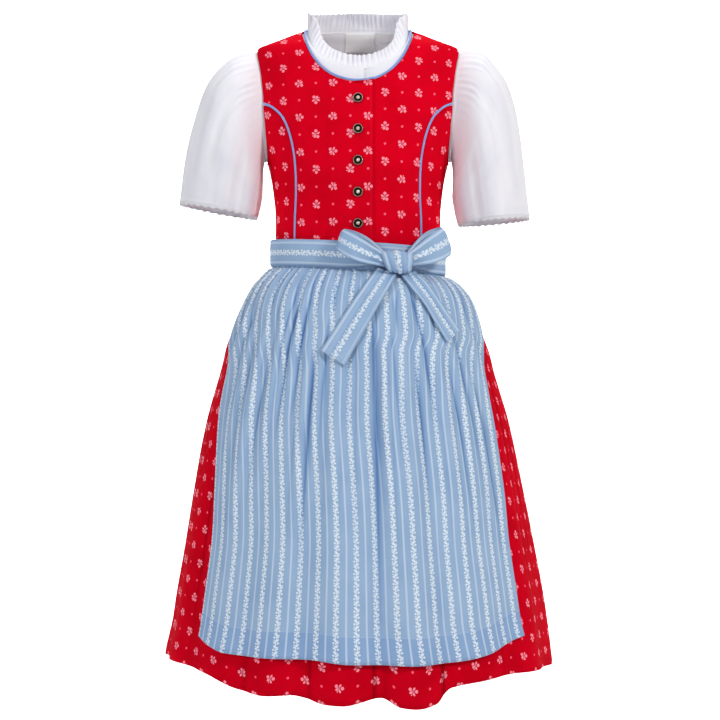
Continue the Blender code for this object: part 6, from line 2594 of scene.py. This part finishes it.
@dataclass
class Bow:
    """The ties round the waist and the bow in front: two loops, two tails and the knot."""

    stripe: Material
    tail_stripe: Material
    tie_height: float = 33.0 * MM
    waist_radius: float = 0.098
    knot_length: float = 0.089
    knot_centre: Triple = (51.5, -87.7, -300.0)
    knot_half: Triple = (18.0, 12.5, 13.5)

    def tie(self, name: str, first: float, last: float, over: float) -> None:
        """Build a tie wrapped round the waist, narrowing towards the knot.

        Args:
            name: the solid that it replaces.
            first: turn where it starts, degrees.
            last: turn where it ends, degrees.
            over: 1 where it lies over the other tie behind.
        """
        first, last = first * DEGREE, last * DEGREE
        knot_turn = 25.0 * DEGREE
        level = BAND_LIFT + APRON_WALL + 0.5 * MM
        middle = 0.5 * (BAND_TOP + BAND_BOTTOM) + 0.5 * MM
        length = abs(last - first) * self.waist_radius

        def place(u: float, v: float) -> Vector:
            """The point at two shares.

            Args:
                u: share of the way across.
                v: share of the way up.

            Returns:
                The point.
            """
            turn = mix(first, last, u)
            near = min(abs(turn - knot_turn), abs(turn - knot_turn - FULL_TURN))
            half = 0.5 * self.tie_height * mix(0.55, 1.0, smooth_step(near, 0.1, 0.7))
            drop = 3.0 * MM * smooth_step(near, 0.9, 0.1)
            behind = smooth_step(abs(turn), 160.0 * DEGREE, 175.0 * DEGREE)
            lift = level + over * behind * (APRON_WALL + 0.6 * MM)
            pleats = 0.7 * MM * cos(5.0 * pi * v + 2.0 * turn) * smooth_step(near, 0.8, 0.1)
            ripple = 0.35 * MM * sin(9.0 * turn + 5.0 * v) * sin(pi * v)
            height = middle - drop + mix(-half, half, v)
            return waist_strip(turn, height, lift + abs(pleats) + abs(ripple))

        Cloth(name, 220, 14, place, lambda u, v: ((v - 0.5) * self.tie_height, length * u), APRON_WALL,
              self.stripe
              ).sew(Slot.BLUE, Cut(self.tie_height, length, Held.STRETCHED, ("apron_band",)))

    def loop(self, shape: BowLoopShape) -> None:
        """Build one loop: a strap that runs out, turns and comes back behind itself.

        Args:
            shape: its corners, puff and length.
        """
        knot_top, knot_bottom = Vector(shape.knot_top) * MM, Vector(shape.knot_bottom) * MM
        end_top, end_bottom = Vector(shape.end_top) * MM, Vector(shape.end_bottom) * MM
        outward = (end_top + end_bottom) - (knot_top + knot_bottom)
        inward = -outward.normalized() * 5.0 * MM
        knot_top, knot_bottom = knot_top + inward, knot_bottom + inward
        facing = outward.cross(end_top - end_bottom).normalized()
        if facing.y > 0.0:
            facing = -facing
        away, strap_up = outward.normalized(), (end_top - end_bottom).normalized()

        def place(u: float, v: float) -> Vector:
            """The point at two shares.

            Args:
                u: share of the way across.
                v: share of the way up.

            Returns:
                The point.
            """
            angle = pi * mix(0.008, 0.992, u)
            reach = sin(angle) ** 0.8
            near = knot_bottom.lerp(knot_top, v)
            far = end_bottom.lerp(end_top, v)
            point = near.lerp(far, reach)
            belly = shape.puff * MM * sin(2.0 * angle) * 0.75
            belly *= 0.75 + 0.25 * sin(pi * v)
            point += facing * (belly + 1.5 * MM * cos(angle))
            full = sin(pi * reach ** 1.3)
            point += strap_up * ((2.0 * v - 1.0) * 3.4 * MM * full - 1.8 * MM * full)
            point -= away * (3.6 * MM * (2.0 * v - 1.0) ** 4 * reach ** 4)
            point.z += 6.0 * MM * smooth_step(u, 0.5, 0.64) * sin(pi * reach)
            pinch = 1.9 * MM * cos(4.4 * pi * v + 0.5) * smooth_step(reach, 0.9, 0.1)
            roll = 1.1 * MM * sin(pi * v) * sin(2.6 * pi * reach)
            return point + facing * (pinch + roll)

        Cloth(shape.name, 96, 28, place, lambda u, v: ((v - 0.5) * STRAP_WIDTH, shape.length * u),
              APRON_WALL, self.stripe, offset=0.0
              ).sew(Slot.BLUE, Cut(STRAP_WIDTH, shape.length, Held.FOLDED, ("bow_knot",)))

    def tail(self, name: str, stations: Sequence[Sequence[float]], sway: float, length: float) -> None:
        """Build one hanging end of the bow, which lies on the apron.

        Args:
            name: the solid that it replaces.
            stations: its two edges on the way down.
            sway: where its soft wave starts.
            length: its flat length.
        """
        line = Table([(i / (len(stations) - 1), *row) for i, row in enumerate(stations)], 1.0, MM)

        def place(u: float, v: float) -> Vector:
            """The point at two shares.

            Args:
                u: share of the way across.
                v: share of the way up.

            Returns:
                The point.
            """
            share = 1.0 - v
            start_x, start_z, end_x, end_z = line.at(share)
            x, z = mix(start_x, end_x, u), mix(start_z, end_z, u)
            rest = self.apron_front(x, z) - mix(6.6 * MM, 3.4 * MM, smooth_step(share, 0.4, 1.0))
            wave = 1.4 * MM * sin(FULL_TURN * u + sway) * smooth_step(share, 0.0, 0.4)
            y = mix(min(rest, -86.0 * MM), rest, smooth_step(share, 0.0, 0.2)) - abs(wave)
            y += 0.9 * MM * cos(5.0 * pi * u) * smooth_step(share, 0.35, 0.0)
            y -= 0.6 * MM * sin(7.0 * share + 2.0 * u) ** 2
            return Vector((x, y, z))

        Cloth(name, 28, 84, place, lambda u, v: ((u - 0.5) * STRAP_WIDTH, length * v), APRON_WALL,
              self.tail_stripe, offset=1.0
              ).sew(Slot.BLUE, Cut(STRAP_WIDTH, length, Held.HUNG, ("bow_knot", "apron_skirt")))

    def apron_front(self, x: float, z: float) -> float:
        """Y of the plain outer form of the apron's front at a place seen from the front.

        Args:
            x: place across.
            z: height.

        Returns:
            Y of the form.
        """
        height = min(z, BAND_BOTTOM - 1.0 * MM)
        half_width, front, _ = SKIRT.at(height)
        share = (BAND_BOTTOM - height) / (BAND_BOTTOM - APRON_HEM_LINE.at(0.0)[0])
        lift = apron_clearance(share)
        sine = min(abs(x) / (half_width + lift), 0.98)
        return -(front + lift) * sqrt(1.0 - sine * sine)

    def knot(self) -> None:
        """Build the knot: the strap wound once over the loops, pleated by the pull."""
        centre = Vector(self.knot_centre) * MM

        def squared(value: float) -> float:
            """A sine or cosine squared off towards the corners."""
            return copysign(abs(value) ** 0.72, value)

        def place(u: float, v: float) -> Vector:
            """The point at two shares.

            Args:
                u: share of the way across.
                v: share of the way up.

            Returns:
                The point.
            """
            angle = FULL_TURN * u
            wide = 2.0 * v - 1.0
            x = wide * 0.98
            round_off = mix(0.60, 1.0, (1.0 - abs(wide) ** 3.4) ** 0.55)
            pleat = 0.055 * cos(4.6 * pi * wide + 0.9 * sin(angle))
            pleat += 0.035 * cos(2.0 * pi * wide - 0.6)
            scale = round_off * (1.0 + pleat)
            y, z = -squared(cos(angle)) * scale, squared(sin(angle)) * scale
            corner = (x * (1.0 + 0.20 * z) - 0.10 * z, y, z - 0.07 * x)
            return centre + Vector([self.knot_half[i] * MM * corner[i] for i in range(3)])

        # The knot gets only a little painted shade in its hollows
        Cloth("bow_knot", 96, 48, place, lambda u, v: ((v - 0.5) * STRAP_WIDTH, self.knot_length * u),
              APRON_WALL, self.stripe, tube=True, shade=0.25
              ).sew(Slot.BLUE, Cut(0.040, 0.092, Held.FOLDED, ("apron_band",)))

    def build(self) -> None:
        """Build the ties and the bow."""
        self.tie("tie_left", 33.0, 178.0, 0.0)
        self.tie("tie_right", -194.0, 15.0, 1.0)
        for shape in BOW_LOOPS:
            self.loop(shape)
        self.tail("bow_tail_right", RIGHT_TAIL, 0.6, 0.150)
        self.tail("bow_tail_left", LEFT_TAIL, 2.2, 0.104)
        self.knot()


class Lamp(NamedTuple):
    """A soft studio lamp: place, aim, size in metres, power in watts and tint."""

    name: str
    place: Triple
    aim: Triple
    size: float
    power: float
    tint: str


@dataclass
class Studio:
    """Pale paper sweep, soft lamps and the camera of the photograph."""

    paper: Material
    floor: float = -1.08
    camera_place: Triple = (0.0027, -2.5, -0.4256)
    lens: float = 94.0
    sensor: float = 36.0
    sky: str = "#ffffff"
    sky_strength: float = 0.24
    lamps: tuple[Lamp, ...] = (
        Lamp("key", (2.05, -2.0, 1.2), (0.0, 0.0, -0.25), 0.5, 49.0, "#fffdfa"),
        Lamp("fill", (-1.9, -2.2, 0.5), (0.0, 0.0, -0.35), 0.9, 27.0, "#fafcff"),
        Lamp("top", (0.0, -0.4, 1.7), (0.0, 0.0, -0.3), 1.2, 10.0, "#ffffff"),
        Lamp("floor", (0.0, 0.9, 1.4), (0.0, 2.0, -0.3), 1.8, 30.0, "#ffffff"),
        Lamp("wall", (0.0, 2.5, 1.9), (0.0, 4.2, -0.5), 2.4, 220.0, "#ffffff"),
    )

    def sweep(self) -> None:
        """Build the paper: a floor that rises in one curve behind the clothes."""
        curve, back, top = 0.5, 4.1, 2.6

        def place(u: float, v: float) -> Vector:
            """The point at two shares.

            Args:
                u: share of the way across.
                v: share of the way up.

            Returns:
                The point.
            """
            x = mix(-5.5, 5.5, u)
            run = mix(-4.5, back + top - self.floor, v)
            if run < back - curve:
                return Vector((x, run, self.floor))
            angle = min((run - back + curve) / curve, QUARTER_TURN)
            rest = max(run - back + curve - curve * 0.5 * pi, 0.0)
            return Vector((x, back - curve + curve * sin(angle),
                           self.floor + curve - curve * cos(angle) + rest))

        grid = bmesh.new()
        bmesh.ops.create_grid(grid, x_segments=8, y_segments=160, size=0.5)
        for vertex in grid.verts:
            vertex.co = place(vertex.co.x + 0.5, vertex.co.y + 0.5)
        bmesh.ops.recalc_face_normals(grid, faces=grid.faces)
        finished("paper_sweep", grid, self.paper)

    def light(self) -> None:
        """Set up the lamps and the even light of the room."""
        for lamp in self.lamps:
            data = bpy.data.lights.new(lamp.name, "AREA")
            data.shape = "DISK"
            data.size = lamp.size
            data.energy = lamp.power
            data.color = linear(lamp.tint)[:3]
            item = bpy.data.objects.new(lamp.name, data)
            item.location = lamp.place
            toward = Vector(lamp.aim) - Vector(lamp.place)
            item.rotation_euler = toward.to_track_quat("-Z", "Y").to_euler()
            bpy.context.scene.collection.objects.link(item)
        world = bpy.data.worlds.new("room")
        world.use_nodes = True
        sky = world.node_tree.nodes["Background"]
        sky.inputs["Color"].default_value = linear(self.sky)
        sky.inputs["Strength"].default_value = self.sky_strength
        bpy.context.scene.world = world

    def camera(self) -> None:
        """Set up the camera, level and square to the front."""
        data = bpy.data.cameras.new("camera")
        data.lens = self.lens
        data.sensor_width = self.sensor
        data.clip_end = 50.0
        item = bpy.data.objects.new("camera", data)
        item.location = self.camera_place
        item.rotation_euler = (QUARTER_TURN, 0.0, 0.0)
        bpy.context.scene.collection.objects.link(item)
        bpy.context.scene.camera = item

    def build(self) -> None:
        """Build the whole studio."""
        self.sweep()
        self.light()
        self.camera()
        bpy.context.scene.view_settings.view_transform = "Standard"


def main() -> None:
    """Build and dress every piece, then the studio."""
    red = RedPrint().build("red_print")
    red_edged = RedPrint().build("red_print_stitched_edge", (Stitch(True, 71.3),))
    # A darker copy of the red print for the skirt: painted shade, as the skirt hangs lower and lies more
    # in shade
    shaded_skirt_red = RedPrint(ground="#d2001d", deep="#c40019").build("red_print_skirt_darkened")
    batiste = Batiste().build("batiste", (Stitch(True, 0.6),))
    # A lighter copy of the batiste for the blouse's back: painted light for its inside, which lies in
    # shade
    lightened_back_batiste = Batiste("#fafaff", "#f2f2f9").build("batiste_back_lightened", (Stitch(True, 0.6),))
    # A lighter copy of the batiste for the collar: painted light, mostly for its back, which lies in
    # shade
    lightened_collar_batiste = Batiste("#f0eff5", "#e9e9ef", "#e9e9f0").build("batiste_collar_lightened", (Stitch(False, 2.6),))
    # The sleeves' fold hollows get a fainter tint of painted shade
    sleeve_cloth = Batiste(crease="#ededf3").build("batiste_sleeve", (Stitch(False, 7.0),))
    lace = LaceThread().build("cotton_lace")
    apron_cloth = BlueStripe().build("blue_stripe_apron", (Stitch(False, 33.0),), hemmed=True)
    strap_cloth = BlueStripe().build("blue_stripe_strap", (Stitch(True, 14.6), Stitch(True, -14.6)))
    tail_cloth = BlueStripe().build("blue_stripe_tail", (Stitch(False, 6.5),))
    piping = BiasPiping().build("bias_piping")
    pewter = OldPewter().build("old_pewter")
    satin = SatinLabel().build("satin_label", (Stitch(False, 1.2),))
    Bodice(red, red_edged).build()
    Trimmings(piping, pewter).build()
    Blouse(batiste, lightened_back_batiste, lightened_collar_batiste, satin).build()
    Sleeve("right", RIGHT_SLEEVE, -1, sleeve_cloth, lace).build()
    Sleeve("left", LEFT_SLEEVE, 1, sleeve_cloth, lace).build()
    Skirt(shaded_skirt_red).build()
    Apron(apron_cloth, strap_cloth).build()
    Bow(strap_cloth, tail_cloth).build()
    Studio(StudioPaper().build("studio_paper")).build()


if __name__ == "__main__":
    main()
